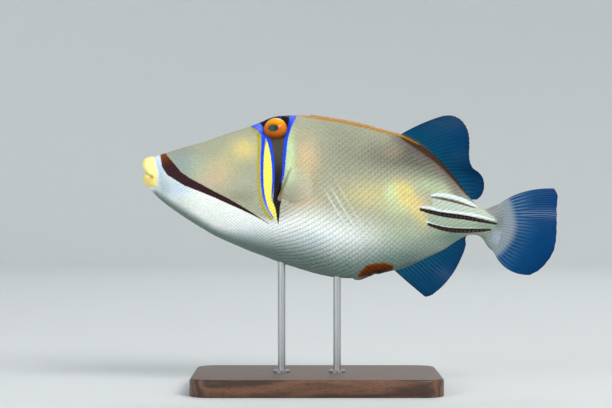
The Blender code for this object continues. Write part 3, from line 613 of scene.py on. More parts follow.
def stem_end_shift(s, h):
    """How far the last loops lean and bulge backwards to the tail fin's root."""
    end, middle, lean = STEM_END
    bulge = STEM_BULGE * np.clip(1 - ((h - middle) / STEM_HALF_DEPTH) ** 2, 0, 1)
    return lean * (h - middle) * ease(STEM_LEANS_FROM, end, s) + bulge * ease(end - 8, end, s)


def skin_form(s, angles):
    """(s, y, h) on the body's plain form, on the left side for angles up to pi."""
    points = around(body_rows(s), angles)
    points[..., 0] += stem_end_shift(s, points[..., 2])
    return points


def outward(by_angle, by_length):
    """Unit vectors that stand outwards on a surface."""
    normal = np.cross(by_angle, by_length)
    return normal / np.maximum(np.linalg.norm(normal, axis=-1, keepdims=True), 1e-9)


def skin_normals(s, angles):
    """Outward directions on the body's plain form."""
    step, turn = 0.2, 0.01
    by_length = skin_form(s + step, angles) - skin_form(s - step, angles)
    by_angle = skin_form(s, angles + turn) - skin_form(s, angles - turn)
    return outward(by_angle, by_length)


def flank(s, h):
    """Half thickness of the body at s and h."""
    rows = body_rows(np.asarray(s, float))
    back, widest, belly, half = rows[..., 1], rows[..., 3], rows[..., 5], rows[..., 6]
    upper = h > widest
    end, taper = np.where(upper, back, belly), np.where(upper, rows[..., 7], rows[..., 8])
    share = (h - widest) / (end - widest)
    return half * np.maximum(1 - share * share, 0) ** (taper / 2)


def flank_normal(s, h, side):
    """Outward direction of the flank at s and h on that side."""
    step = 0.4
    by_s = (flank(s + step, h) - flank(s - step, h)) / (2 * step)
    by_h = (flank(s, h + step) - flank(s, h - step)) / (2 * step)
    normal = np.array([-by_s, side, -by_h])
    return normal / np.linalg.norm(normal)


def reach_in(s, h, line):
    """How far, in mm, each (s, h) lies inside a line of (s, h, width) points."""
    best = np.full(s.shape, -99.0)
    for (s0, h0, w0), (s1, h1, w1) in zip(line, line[1:]):
        length = (s1 - s0) ** 2 + (h1 - h0) ** 2
        t = np.clip(((s - s0) * (s1 - s0) + (h - h0) * (h1 - h0)) / length, 0, 1)
        gap = np.hypot(s - blend((s0, s1), t), h - blend((h0, h1), t))
        best = np.maximum(best, blend((w0, w1), t) / 2 - gap)
    return best


def any_of(s, h, lines):
    """How far each (s, h) lies inside the nearest of several lines."""
    return np.max([reach_in(s, h, line) for line in lines], axis=0)


def eye_distance(points):
    """Distance of (s, y, h) points from the centre of the eye on their side."""
    s, y, h = np.moveaxis(points, -1, 0)
    return np.sqrt((s - EYE_CENTRE[0]) ** 2 + (abs(y) - EYE_CENTRE[1]) ** 2 + (h - EYE_CENTRE[2]) ** 2)


def row_swell(share):
    """Width of a row of spines at a share of its length, against its width at the middle."""
    return 0.45 + 0.55 * math.sin(math.pi * min(share * 0.9 + 0.1, 1))


def markings(points):
    """Every marking of the skin at (s, y, h) points: in mm how far the point lies inside a
    sharp one, and from 0 to 1 how strong a soft one is."""
    s, h = points[..., 0], points[..., 2]
    edge = smooth(PALE_EDGE, s)
    soft = np.interp(s, *np.array(PALE_SOFTNESS).T)
    slope = smooth(BACK_LINE, s + 0.5) - smooth(BACK_LINE, s - 0.5)
    depth = (smooth(BACK_LINE, s) - h) / np.sqrt(1 + slope**2)
    over_belly = h - smooth(BELLY_LINE, s)
    fold_place, fold = folds(s, h)
    along_dorsal = ease(10, 3, depth) * ease(138, 150, s) * (1 - ease(176, 190, s))
    panel = np.minimum(reach_in(s, h, STEM_PANEL), s - np.interp(h, *np.array(PANEL_FRONT).T))
    vent = reach_in(s, h, VENT_PATCH)
    faint_row, *dark_rows = [
        [(*along(row, share), width * row_swell(share)) for share in np.linspace(0, 1, 9)]
        for (row, _), width in zip(SPINE_ROWS, ROW_WIDTHS)
    ]
    found = {
        "stripe": reach_in(s, h, SNOUT_STRIPE),
        "stripe_top": ease(19, 30, h - 0.5 * (s - 12)),
        "olive": reach_in(s, h, OLIVE_LINE),
        "blue": any_of(s, h, [FRONT_BLUE, SECOND_BLUE, REAR_BLUE, BROW_BLUE, *CROWN_BLUE]),
        "yellow": reach_in(s, h, YELLOW_WEDGE),
        "bar": any_of(s, h, [BLACK_BAR, BROW_BLACK]),
        "bar_top": ease(14, 30, h) * (1 - ease(36, 40, h)),
        "lip": inside_lips(s, h),
        "lip_low": ease(19.0, 14.0, h + 0.5 * s - 1.5),
        # Painted shade at the mouth's corner, where the skin dips into a pit
        "mouth_corner_shade": bell(points_gap(s, h, MOUTH_CORNER), 1.5),
        "back_edge": np.interp(s, *np.array(BACK_EDGE).T) - depth,
        "dorsal_base": np.interp(s, *np.array(DORSAL_BASE_LINE).T) - depth,
        "vent_rim": vent,
        "vent": vent - VENT_RIM,
        "vent_dark": ease(4.6, 0.8, over_belly) * (0.35 + 0.65 * bell(s - 135.5, 6.0)),
        "panel": np.minimum(panel, PANEL_END - s),
        "panel_low": ease(0.5, -1.5, h + 4.4 + 0.172 * (s - 160)),
        "white": any_of(s, h, STEM_WHITE),
        "row_faint": reach_in(s, h, faint_row),
        "row": any_of(s, h, dark_rows),
        # Gill slit painted dark as shade in its groove, only below GILL_SLIT_DARK_TO
        "slit": np.minimum(reach_in(s, h, GILL_SLIT), GILL_SLIT_DARK_TO - h),
        "belly": ease(-soft, soft, edge - h) * (1 - 0.5 * ease(125, 160, s)),
        "fold_place": fold_place,
        "fold": fold,
        # Painted shade along the keel, darkest at the belly line and weaker towards the tail
        "keel": ease(1, 0.2, over_belly / smooth(KEEL_REACH, s)) * (1 - 0.65 * ease(150, 195, s)),
        "tail_flesh": ease(193, 207, s + 0.4 * abs(h + 12)),
    }
    for name, patches in TINTS.items():
        shares = [
            strength * np.exp(-(((s - s0) / reach_s) ** 2) - ((h - h0) / reach_h) ** 2)
            for s0, h0, reach_s, reach_h, strength in patches
        ]
        found[name] = np.clip(np.sum(shares, axis=0), 0, 1)
    found["mauve"] = np.maximum(found["mauve"], along_dorsal)
    return found


def folds(s, h):
    """Place across the skin's folds, a whole number on each crest, and how strong they are."""
    across = FOLD_SLANT[0] * s + FOLD_SLANT[1] * h
    down = FOLD_SLANT[1] * s - FOLD_SLANT[0] * h
    steps = np.arange(len(FOLD_PLACES))
    at = np.interp(across, FOLD_PLACES, steps) + 0.25 * np.minimum(across - FOLD_PLACES[0], 0)
    at = at + 0.25 * np.maximum(across - FOLD_PLACES[-1], 0)
    strength = ease(44, 54, down) * (1 - ease(70, 82, down)) * (1 - 0.5 * ease(1.3, 1.8, at))
    return at, strength * ease(-0.5, -0.3, at) * (1 - ease(2.3, 2.5, at))


def inside_lips(s, h):
    """How far, in mm, each (s, h) lies inside the lips."""
    return np.minimum(smooth(LIP_EDGE, np.clip(h, 4, 31)) - s, h - LIP_BOTTOM)


def points_gap(s, h, point):
    """Distance of (s, h) from a point."""
    return np.hypot(s - point[0], h - point[1])


def relief(points, sizes):
    """How far, in mm, the skin stands out from the body's plain form at (s, y, h) points."""
    s, y, h = np.moveaxis(points, -1, 0)
    eye = eye_distance(points) - EYE_RADIUS
    out = sizes.eye_rim * bell(eye - EYE_RIM_GAP, 1.0)
    out -= EYE_SOCKET_DEPTH * (1 - ease(0.3, 2.4, eye))
    slit = reach_in(s, h, GILL_SLIT)
    out += 0.25 * bell(slit + 1.6, 0.8) - GILL_SLIT_DEPTH * ease(-0.5, 0.3, slit)
    at, fold = folds(s, h)
    out += FOLD_HEIGHT * fold * bell(at - np.round(at), 0.22)
    lips = inside_lips(s, h)
    out += 0.4 * ease(-0.3, 1.4, lips) - 0.3 * bell(lips + 0.7, 0.7)
    for spot, height, reach in SPOTS_AHEAD_OF_EYE:
        out += height * bell(points_gap(s, h, spot), reach) * (abs(y) > RIDGE_HALF)
    for spot, height, reach in SKIN_SPOTS:
        out += height * bell(points_gap(s, h, spot), reach)
    out += KEEL_HEIGHT * ease(-0.6, 0.5, any_of(s, h, STEM_WHITE))
    return out + 0.12 * wavy(s, h, 3, 26) * ease(0, 12, s)


def surface_table():
    """Lengths round the body at stations of s: at each, the angle for shares of the way from
    the widest line, 0, up to the ridge, 1, or down to the keel, -1, and both lengths."""
    stations = np.arange(BODY_START, STATIONS_END, STATION_STEP)
    quarter = 120
    angles = np.linspace(0, math.pi, 2 * quarter + 1)
    points = skin_form(np.repeat(stations[:, None], angles.size, 1), angles[None, :])
    steps = np.linalg.norm(np.diff(points, axis=1), axis=2)
    run = np.concatenate([np.zeros((stations.size, 1)), np.cumsum(steps, axis=1)], axis=1)
    middle = run[:, quarter]
    shares = np.linspace(-1, 1, 161)
    table = np.empty((stations.size, shares.size))
    for i, lengths in enumerate(run):
        heights = middle[i] - lengths
        ends = np.where(heights >= 0, middle[i], lengths[-1] - middle[i])
        table[i] = np.interp(shares, (heights / ends)[::-1], angles[::-1])
    return {"s": stations, "angle": table, "up": middle, "down": run[:, -1] - middle}


def angle_at(table, s, v):
    """Angle round the left side at s and v, the length up from the widest line."""
    up, down = np.interp(s, table["s"], table["up"]), np.interp(s, table["s"], table["down"])
    share = np.clip(np.where(v >= 0, v / up, v / down), -1, 1)
    rows, columns = table["angle"].shape
    i = np.clip((s - table["s"][0]) / STATION_STEP, 0, rows - 1.001)
    j = np.clip((share + 1) / 2 * (columns - 1), 0, columns - 1.001)
    i0, j0 = i.astype(int), j.astype(int)
    fi, fj = i - i0, j - j0
    near = blend((table["angle"][i0, j0], table["angle"][i0, j0 + 1]), fj)
    far = blend((table["angle"][i0 + 1, j0], table["angle"][i0 + 1, j0 + 1]), fj)
    return blend((near, far), fi)


def grid_faces(rows, columns, wrap=False):
    """Quads of a grid of vertices, row after row, closed across the columns if wrapped."""
    last = columns if wrap else columns - 1
    i, j = np.meshgrid(np.arange(rows - 1), np.arange(last), indexing="ij")
    k = (j + 1) % columns
    corners = [i * columns + j, i * columns + k, (i + 1) * columns + k, (i + 1) * columns + j]
    return np.stack(corners, -1).reshape(-1, 4)


def mesh_object(name, points, faces, look, values=None, patches=None):
    """Object of that name from world points and arrays of faces, with values on its points
    and, for each corner of its faces, a place on the unwrap."""
    data = bpy.data.meshes.new(name)
    sizes = np.concatenate([np.full(len(group), group.shape[1]) for group in faces])
    corners = np.concatenate([group.ravel() for group in faces]).astype(np.int32)
    data.vertices.add(len(points))
    data.vertices.foreach_set("co", np.ascontiguousarray(points, np.float32).ravel())
    data.loops.add(len(corners))
    data.loops.foreach_set("vertex_index", corners)
    data.polygons.add(len(sizes))
    starts = np.concatenate([[0], np.cumsum(sizes)[:-1]]).astype(np.int32)
    data.polygons.foreach_set("loop_start", starts)
    data.update(calc_edges=True)
    for label, array in (values or {}).items():
        layer = data.attributes.new(label, "FLOAT", "POINT")
        layer.data.foreach_set("value", np.ascontiguousarray(array, np.float32).ravel())
    if patches is not None:
        layer = data.uv_layers.new(name="OFBake")
        layer.data.foreach_set("uv", np.ascontiguousarray(patches, np.float32).ravel())
    data.shade_smooth()
    data.materials.append(look)
    made = bpy.data.objects.new(name, data)
    bpy.context.scene.collection.objects.link(made)
    return made


def face_outwards(made, fill=False, weld=0):
    """Turns every face of a mesh outwards, where asked for with the open ends of its tubes
    filled or with points closer than weld joined."""
    mesh = bmesh.new()
    mesh.from_mesh(made.data)
    if weld:
        bmesh.ops.remove_doubles(mesh, verts=mesh.verts, dist=weld)
    if fill:
        bmesh.ops.holes_fill(mesh, edges=[edge for edge in mesh.edges if edge.is_boundary])
    bmesh.ops.recalc_face_normals(mesh, faces=mesh.faces)
    mesh.to_mesh(made.data)
    mesh.free()


def add(tree, kind, inputs=None, **settings):
    """Shader node of that kind with its settings, and values or links for its inputs."""
    node = tree.nodes.new("ShaderNode" + kind)
    for name, value in settings.items():
        setattr(node, name, value)
    for key, value in (inputs or {}).items():
        if isinstance(value, bpy.types.NodeSocket):
            tree.links.new(value, node.inputs[key])
        else:
            node.inputs[key].default_value = value
    return node


def new_material(name):
    """Empty material of that name, its node tree and each point's place on its object."""
    look = bpy.data.materials.new(name)
    look.use_nodes = True
    tree = look.node_tree
    tree.nodes.clear()
    return look, tree, add(tree, "TexCoord").outputs["Object"]


def finish_material(tree, inputs):
    """Principled shader with those inputs, joined to the material's output."""
    shader = add(tree, "BsdfPrincipled", inputs)
    add(tree, "OutputMaterial", {"Surface": shader.outputs["BSDF"]})


def laid_over(tree, under, marking, colour, soft, wobble):
    """Colours with a sharp marking laid over them, its edge softened over soft mm."""
    reach = add(tree, "Attribute", attribute_name=marking).outputs["Fac"]
    reach = add(tree, "Math", {0: reach, 1: wobble}, operation="ADD").outputs[0]
    limits = {"Value": reach, "From Min": -soft, "From Max": soft}
    cover = add(tree, "MapRange", limits, interpolation_type="SMOOTHSTEP").outputs["Result"]
    return add(tree, "Mix", {0: cover, 6: under, 7: colour}, data_type="RGBA").outputs[2]


def tinted(tree, under, marking, colour, strength):
    """Colours with a soft marking of up to that strength laid over them."""
    share = add(tree, "Attribute", attribute_name=marking).outputs["Fac"]
    cover = add(tree, "Math", {0: share, 1: strength}, operation="MULTIPLY").outputs[0]
    return add(tree, "Mix", {0: cover, 6: under, 7: colour}, data_type="RGBA").outputs[2]


def varied(tree, colour, noise, low, high):
    """Colours whose brightness follows a noise between two factors."""
    value = add(tree, "MapRange", {"Value": noise, "To Min": low, "To Max": high}).outputs[0]
    return add(tree, "HueSaturation", {"Value": value, "Color": colour}).outputs[0]


def skin_material(scales):
    """Living fish skin, small bony scales under a thin coat of mucus.

    The eye sees crisp pigment lines on a pale ground with a faint pearly sheen, a fine net of
    scale edges and a soft wet gloss. The pearly sheen, the shade along the keel, the back and
    the scale edges, and the highlights on the folds' crests are painted into the colour.
    """
    tones = bpy.context.scene.triggerfish_skin
    name = "scaled_fish_skin" if scales else "fish_skin_under_scales"
    look, tree, where = new_material(name)
    # Pigment edges wander by up to 0.25 mm over cells of about 1.2 mm
    edge_noise = add(tree, "TexNoise", {"Vector": where, "Scale": 800, "Detail": 2}).outputs["Fac"]
    wobble = add(tree, "MapRange", {"Value": edge_noise, "To Min": -0.25, "To Max": 0.25}).outputs[0]
    colour = tones.cheek
    for name, strength in GROUND_TINTS.items():
        colour = tinted(tree, colour, name, getattr(tones, name), strength)
    # Each fold's crest is a painted highlight, a pale line about 0.8 mm wide
    place_in_fold = add(tree, "Attribute", attribute_name="fold_place").outputs["Fac"]
    off_crest = add(tree, "Math", {0: place_in_fold, 1: 0.5}, operation="PINGPONG").outputs[0]
    crest = add(tree, "MapRange", {"Value": off_crest, "From Min": 0.2, "From Max": 0.02}).outputs[0]
    fold = add(tree, "Attribute", attribute_name="fold").outputs["Fac"]
    crest = add(tree, "Math", {0: crest, 1: fold}, operation="MULTIPLY").outputs[0]
    crest = add(tree, "Math", {0: crest, 1: 0.6}, operation="MULTIPLY").outputs[0]
    colour = add(tree, "Mix", {0: crest, 6: colour, 7: tones.white}, data_type="RGBA").outputs[2]
    # Clouding of the ground over 15 mm and of single scales over 2 mm
    cloud = add(tree, "TexNoise", {"Vector": where, "Scale": 65, "Detail": 3}).outputs["Fac"]
    grain = add(tree, "TexNoise", {"Vector": where, "Scale": 520, "Detail": 3}).outputs["Fac"]
    both = add(tree, "Math", {0: cloud, 1: grain}, operation="ADD").outputs[0]
    limits = {"Value": both, "From Min": 0.6, "From Max": 1.4, "To Min": 0.9, "To Max": 1.08}
    value = add(tree, "MapRange", limits).outputs[0]
    colour = add(tree, "HueSaturation", {"Value": value, "Color": colour}).outputs[0]
    panel = tinted(tree, tones.panel, "panel_low", tones.panel_low, 1.0)
    colour = laid_over(tree, colour, "panel", panel, 0.7, wobble)
    # Grey green patches laid on, partly painted shade and partly the skin's own darker grey
    colour = tinted(tree, colour, "shade", tones.keel, 1.0)
    vent = laid_over(tree, tones.vent_rim, "vent", tones.vent, 0.8, wobble)
    lip = tinted(tree, tones.lip, "lip_low", tones.lip_low, 1.0)
    toned = {
        "bar": tinted(tree, tones.bar, "bar_top", tones.bar_top, 1.0),
        "blue": tinted(tree, tones.blue, "lilac", tones.lilac, 1.0),
        "stripe": tinted(tree, tones.stripe, "stripe_top", tones.stripe_top, 0.9),
        "vent_rim": tinted(tree, vent, "vent_dark", tones.vent_dark, 0.97),
        # The gill slit and the nostrils' holes take the bar's near black, as painted shade
        "slit": tones.bar,
        # The lips darken at the mouth's corner as painted shade
        "lip": tinted(tree, lip, "mouth_corner_shade", tones.mouth_corner_shade, 0.8),
    }
    for name, soft in SHARP_MARKINGS.items():
        tone = toned[name] if name in toned else getattr(tones, name)
        colour = laid_over(tree, colour, name, tone, soft, wobble)
    if scales:
        # Each scale darkens towards its sunk edge: painted shade in the grooves between scales
        colour = tinted(tree, colour, "scale_edge", tones.olive_and_painted_shade, 0.1)
    # Skin pores and mucus film, really about 0.1 mm, drawn at about 0.5 mm so that they show
    pores = add(tree, "TexNoise", {"Vector": where, "Scale": 2000, "Detail": 2}).outputs["Fac"]
    bump = add(tree, "Bump", {"Strength": 0.25, "Distance": 0.0001, "Height": pores})
    rough = add(tree, "MapRange", {"Value": grain, "To Min": 0.34, "To Max": 0.52}).outputs[0]
    finish_material(tree, {
        "Base Color": colour,
        "Roughness": rough,
        "IOR": 1.4,
        "Specular IOR Level": 0.22,
        "Normal": bump.outputs["Normal"],
        "Coat Weight": 0.1,
        "Coat Roughness": 0.25,
        "Coat IOR": 1.34,
    })
    return look


def own_skin():
    """The bare skin's material, made once."""
    return bpy.data.materials.get("fish_skin_under_scales") or skin_material(False)


def skin_grid(sizes):
    """Rows of the skin's loops from inside the mouth to the tail fin's root, and angles."""
    lips = [[*top, *corner, *bottom, half, 1, 1] for top, corner, bottom, half in LIP_LOOPS]
    knots = np.concatenate([lips, body_rows(np.array([BODY_START, 10.7, 13.2]))])
    index = np.arange(len(knots))
    at = np.linspace(0, len(lips), LIP_ROWS, endpoint=False)
    lip_rows = np.stack([smooth(np.c_[index, column], at) for column in knots.T], -1)
    stations = np.concatenate([np.arange(a, b, step) for a, b, step in LOOP_SPANS])
    rows = body_rows(stations)
    angles = full_turn(sizes.around)
    body = around(rows[:, None], angles[None])
    body[..., 0] += stem_end_shift(stations[:, None], body[..., 2])
    closing = closing_loops(body[-1])
    return np.concatenate([around(lip_rows[:, None], angles[None]), body, closing])


def closing_loops(last):
    """Loops that draw the skin's last loop in round its end, inside the tail fin's root."""
    loops = []
    length, shares = STEM_CLOSING
    for share in shares:
        loop = last.copy()
        loop[:, 0] += length * math.sin(share * math.pi / 2)
        loop[:, 1] *= math.sqrt(1 - share * share)
        loops.append(loop)
    return np.array(loops)


def unwrap(rows):
    """For the skin's grid, a place for each vertex on one flat sheet: lengths along the fish
    and up from the widest line, in mm."""
    run = np.linalg.norm(np.diff(rows, axis=0), axis=2).mean(axis=1)
    length = np.concatenate([[0], np.cumsum(run)])
    steps = np.linalg.norm(np.diff(rows, axis=1, append=rows[:, :1]), axis=2)
    half = rows.shape[1] // 2
    down = np.concatenate([np.zeros((len(rows), 1)), np.cumsum(steps[:, :half], axis=1)], axis=1)
    height = down[:, half // 2, None] - down
    return length, height


def on_unwrap(length, height, side):
    """Place on the unwrap, from 0 to 1 each way, with one island for each side."""
    u = 0.01 + 0.98 * length / UNWRAP_LENGTH
    return np.stack([u, UNWRAP_MIDDLES[side] + 0.98 * height / UNWRAP_LENGTH], -1)


def make_skin():
    """One skin over lips, head, trunk and tail stem."""
    sizes = bpy.context.scene.triggerfish_sizes
    rows = skin_grid(sizes)
    count, columns = rows.shape[:2]
    by_angle = np.roll(rows, -1, axis=1) - np.roll(rows, 1, axis=1)
    normals = outward(by_angle, np.gradient(rows, axis=0))
    rise = relief(rows, sizes) * ease(0, 6, np.arange(count))[:, None]
    points = rows + normals * rise[..., None]
    faces = grid_faces(count, columns, wrap=True)
    flat = points.reshape(-1, 3)
    caps = [points[0].mean(axis=0), points[-1].mean(axis=0)]
    first = np.arange(columns)
    last = first + (count - 1) * columns
    ends = np.stack([np.roll(first, -1), first, np.full(columns, len(flat))], -1)
    tails = np.stack([last, np.roll(last, -1), np.full(columns, len(flat) + 1)], -1)
    flat = np.concatenate([flat, caps])
    length, height = unwrap(rows)
    patches = []
    i, j = np.divmod(np.arange(len(faces)), columns)
    left = j < columns // 2
    for row_step, column_step in ((0, 0), (0, 1), (1, 1), (1, 0)):
        row, column = i + row_step, j + column_step
        up = height[row, np.where(left, column, columns - column)]
        islands = [on_unwrap(length[row], up, side) for side in (LEFT, RIGHT)]
        patches.append(np.where(left[:, None], *islands))
    quad_patches = np.stack(patches, axis=1).reshape(-1, 2)
    cap_patches = np.full((2 * columns * 3, 2), 0.005)
    all_patches = np.concatenate([quad_patches, cap_patches])
    surfaces = [faces, ends, tails]
    skin = mesh_object("skin", place(flat), surfaces, own_skin(), markings(flat), all_patches)
    face_outwards(skin)
    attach(skin, "root")
    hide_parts("lips", "head", "trunk", "tail_stem")


def scale_lattice(table):
    """Middles of the scales of one side, as shares q along and w up the flank."""
    step = 0.25
    s = np.arange(BODY_START + 1, SCALES_END, step)
    q = np.concatenate([[0], np.cumsum(step / smooth(SCALE_LENGTH, s[:-1]))])
    middles = []
    for i in range(1, int(q[-1])):
        at = np.interp(i, q, s)
        depth = smooth(SCALE_DEPTH, at)
        up, down = np.interp(at, table["s"], table["up"]), np.interp(at, table["s"], table["down"])
        for j in range(-int(down / depth - 0.5), int(up / depth - 0.5) + 1):
            if (i + j) % 2 == 0:
                middles.append((i, j))
    return np.array(middles, float), q, s


def bare_places(points):
    """True where no scale grows: lips, eye, nostrils, gill slit, folded spines and vent."""
    s, y, h = np.moveaxis(points, -1, 0)
    bare = inside_lips(s, h) > -BARE_MARGINS["lips"]
    bare |= eye_distance(points) < EYE_RADIUS + BARE_MARGINS["eye"]
    bare |= reach_in(s, h, GILL_SLIT) > -BARE_MARGINS["slit"]
    for nostril in NOSTRILS:
        bare |= (points_gap(s, h, nostril) < BARE_MARGINS["nostril"]) & (abs(y) > RIDGE_HALF)
    start, end, half, low = SPINE_GROOVE
    bare |= (abs(y) < half) & (s > start) & (s < end) & (h > low)
    return bare | (points_gap(s, h, VENT) < BARE_MARGINS["vent"])


def scale_shape():
    """One scale, a rounded rhomb with its middle first and the apex of its underside last.

    Its points as shares of its half length and half height, their share of its rise, how near
    its edge they lie, and its faces.
    """
    turn = full_turn(SCALE_SIDES)
    roundness = 1.25
    spokes = np.abs(np.cos(turn)) ** roundness + np.abs(np.sin(turn)) ** roundness
    reach = 1 / spokes ** (1 / roundness)
    ring = np.stack([reach * np.cos(turn), reach * np.sin(turn)], -1)
    shape = np.concatenate([[[0, 0]], ring * 0.58, ring, [[0, 0]]])
    counts = (1, SCALE_SIDES, SCALE_SIDES, 1)
    rise = np.repeat((1.0, 0.82, -0.45, -6.0), counts)
    edge = np.repeat((0.0, 0.25, 1.0, 1.0), counts)
    k = np.arange(SCALE_SIDES)
    n = (k + 1) % SCALE_SIDES
    inner, outer, apex = 1, 1 + SCALE_SIDES, len(shape) - 1
    fan = np.stack([0 * k, inner + k, inner + n], -1)
    slope = np.stack([inner + k, outer + k, outer + n, inner + n], -1)
    under = np.stack([apex + 0 * k, outer + n, outer + k], -1)
    return shape, rise, edge, (fan, slope, under)


def make_scales(side):
    """All scales of one side, each a low dome with its edge sunk."""
    sizes = bpy.context.scene.triggerfish_sizes
    table = surface_table()
    middles, q, s_at = scale_lattice(table)
    centre_s = np.interp(middles[:, 0], q, s_at)
    centre_v = middles[:, 1] * smooth(SCALE_DEPTH, centre_s)
    keep = ~bare_places(skin_form(centre_s, angle_at(table, centre_s, centre_v)))
    middles, centre_s, centre_v = middles[keep], centre_s[keep], centre_v[keep]
    size = smooth(SCALE_DEPTH, centre_s)[:, None] / LARGEST_SCALE
    shape, rise, edge, surfaces = scale_shape()
    random = np.random.default_rng(11 + side)
    count = len(middles)
    spread = random.uniform(0.96, 1.03, (count, 1))
    s = np.interp(middles[:, :1] + shape[:, 0] * spread, q, s_at)
    v = (middles[:, 1:] + shape[:, 1] * spread) * smooth(SCALE_DEPTH, s)
    angles = angle_at(table, s, v)
    base = skin_form(s, angles)
    normals = skin_normals(s, np.clip(angles, 0.012, math.pi - 0.012))
    height = sizes.scale_rise * size**1.8 * random.uniform(0.8, 1.15, (count, 1)) * rise
    height += relief(base, sizes) + 0.05 * shape[:, 0]
    points = base + normals * height[..., None]
    points[..., 1] *= -side
    start = np.arange(count)[:, None, None] * len(shape)
    faces = [(start + group).reshape(-1, group.shape[1]) for group in surfaces]
    if side == LEFT:
        faces = [group[:, ::-1] for group in faces]
    rows = skin_grid(sizes)
    length = unwrap(rows)[0]
    ridge_s = rows[:, rows.shape[1] // 4, 0]
    lengths = np.interp(centre_s, ridge_s[LIP_ROWS:], length[LIP_ROWS:])
    corner_places = on_unwrap(lengths, centre_v, side)[:, None] + SCALE_PATCH * shape
    corners = np.concatenate([group.ravel() for group in faces])
    values = markings(points)
    # Painted shade in the grooves between scales, weaker on the pale belly
    values["scale_edge"] = size * edge * (1 - 0.5 * values["belly"])
    made = mesh_object(
        "scales_left" if side == LEFT else "scales_right",
        place(points).reshape(-1, 3),
        faces,
        bpy.data.materials.get("scaled_fish_skin") or skin_material(True),
        {name: value.ravel() for name, value in values.items()},
        corner_places.reshape(-1, 2)[corners],
    )
    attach(made, "root")


def eye_material():
    """Fish eye, a wet clear cornea over a pigmented iris.

    The eye sees a bright yellow and orange iris with fine radial strands round a pupil whose
    deep green glint is painted into its colour, under one smooth wet gloss.
    """
    tones = bpy.context.scene.triggerfish_fins
    look, tree, where = new_material("wet_eye")
    up = add(tree, "Attribute", attribute_name="up").outputs["Fac"]
    strand = add(tree, "Attribute", attribute_name="strand").outputs["Fac"]
    mottle = add(tree, "TexNoise", {"Vector": where, "Scale": 900, "Detail": 3}).outputs["Fac"]
    lifted = add(tree, "Math", {0: mottle, 1: 0.35, 2: -0.17}, operation="MULTIPLY_ADD").outputs[0]
    level = add(tree, "Math", {0: up, 1: lifted}, operation="ADD").outputs[0]
    low = add(tree, "MapRange", {"Value": level, "From Min": -0.75, "From Max": 0.1}).outputs[0]
    colour = add(tree, "Mix", {0: low, 6: tones.iris_low, 7: tones.iris_side}, data_type="RGBA")
    high = add(tree, "MapRange", {"Value": level, "From Min": 0.1, "From Max": 0.75}).outputs[0]
    colour = add(tree, "Mix", {0: high, 6: colour.outputs[2], 7: tones.iris_top}, data_type="RGBA")
    colour = tinted(tree, colour.outputs[2], "ring", tones.iris_ring, 0.75)
    colour = varied(tree, colour, strand, 0.82, 1.1)
    dark = linear("#1A0D08")
    colour = tinted(tree, colour, "limbus", dark, 0.9)
    colour = laid_over(tree, colour, "pupil_rim", dark, 0.3, 0.0)
    # The pupil's green is a painted glint
    colour = laid_over(tree, colour, "pupil", tones.pupil, 0.35, 0.0)
    finish_material(tree, {
        "Base Color": colour,
        "Roughness": 0.35,
        "IOR": 1.38,
        "Specular IOR Level": 0.1,
        "Coat Weight": 0.45,
        "Coat Roughness": 0.04,
        "Coat IOR": 1.376,
    })
    return look


def make_eye(side):
    """Eyeball with its iris and slightly sunk pupil."""
    facing = np.array(PUPIL_FACING) * (1, side, 1)
    facing = facing / np.linalg.norm(facing)
    across = np.cross(facing, (0, 0, 1.0))
    across /= np.linalg.norm(across)
    above = np.cross(across, facing)
    rings, sectors = 72, 96
    polar = np.linspace(0, math.pi, rings)[:, None]
    turn = full_turn(sectors)[None]
    x, y = np.sin(polar) * np.cos(turn), np.sin(polar) * np.sin(turn)
    out = np.cos(polar)[..., None] * facing + x[..., None] * across + y[..., None] * above
    # Shares of the way from the pupil's middle to its edge, kept large on the ball's rear half
    gap = EYE_RADIUS * np.hypot(x / PUPIL_SIZE[0], y / PUPIL_SIZE[1]) + (np.cos(polar) < 0) * 9
    inside = (1 - gap) * min(PUPIL_SIZE)
    radius = EYE_RADIUS - PUPIL_SUNK * ease(-0.4, 0.5, inside) - 0.12 * bell(inside + 1.2, 0.7)
    centre = np.array(EYE_CENTRE) * (1, side, 1)
    points = centre + out * radius[..., None]
    random = np.random.default_rng(5)
    strands = sum(
        np.sin(turn * rate + random.uniform(0, 6.28) + 1.5 * polar) for rate in (17, 29, 43, 61)
    )
    values = {
        "pupil": inside,
        "pupil_rim": inside + 0.35,
        "ring": bell(inside + 0.9, 0.6),
        "limbus": ease(1.15, 1.5, polar) + 0 * turn,
        "up": out[..., 2] * 1.1 - 0.15,
        "strand": np.clip(0.5 + strands * 0.16 * np.minimum(gap, 1.5), 0, 1),
    }
    made = mesh_object(
        "eyeball_left" if side == LEFT else "eyeball_right",
        place(points).reshape(-1, 3),
        [grid_faces(rings, sectors, wrap=True)],
        bpy.data.materials.get("wet_eye") or eye_material(),
        {name: np.broadcast_to(value, (rings, sectors)).ravel() for name, value in values.items()},
    )
    face_outwards(made, weld=0.000002)
    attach(made, "root")
    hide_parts("eye_left" if side == LEFT else "eye_right")


def lathe(profile, sectors):
    """Points and faces of a profile of (radius, height) turned round its axis."""
    turn = full_turn(sectors)
    radius, height = np.array(profile, float).T[..., None]
    points = np.stack([radius * np.cos(turn), radius * np.sin(turn), height + 0 * turn], -1)
    return points.reshape(-1, 3), grid_faces(len(profile), sectors, wrap=True)


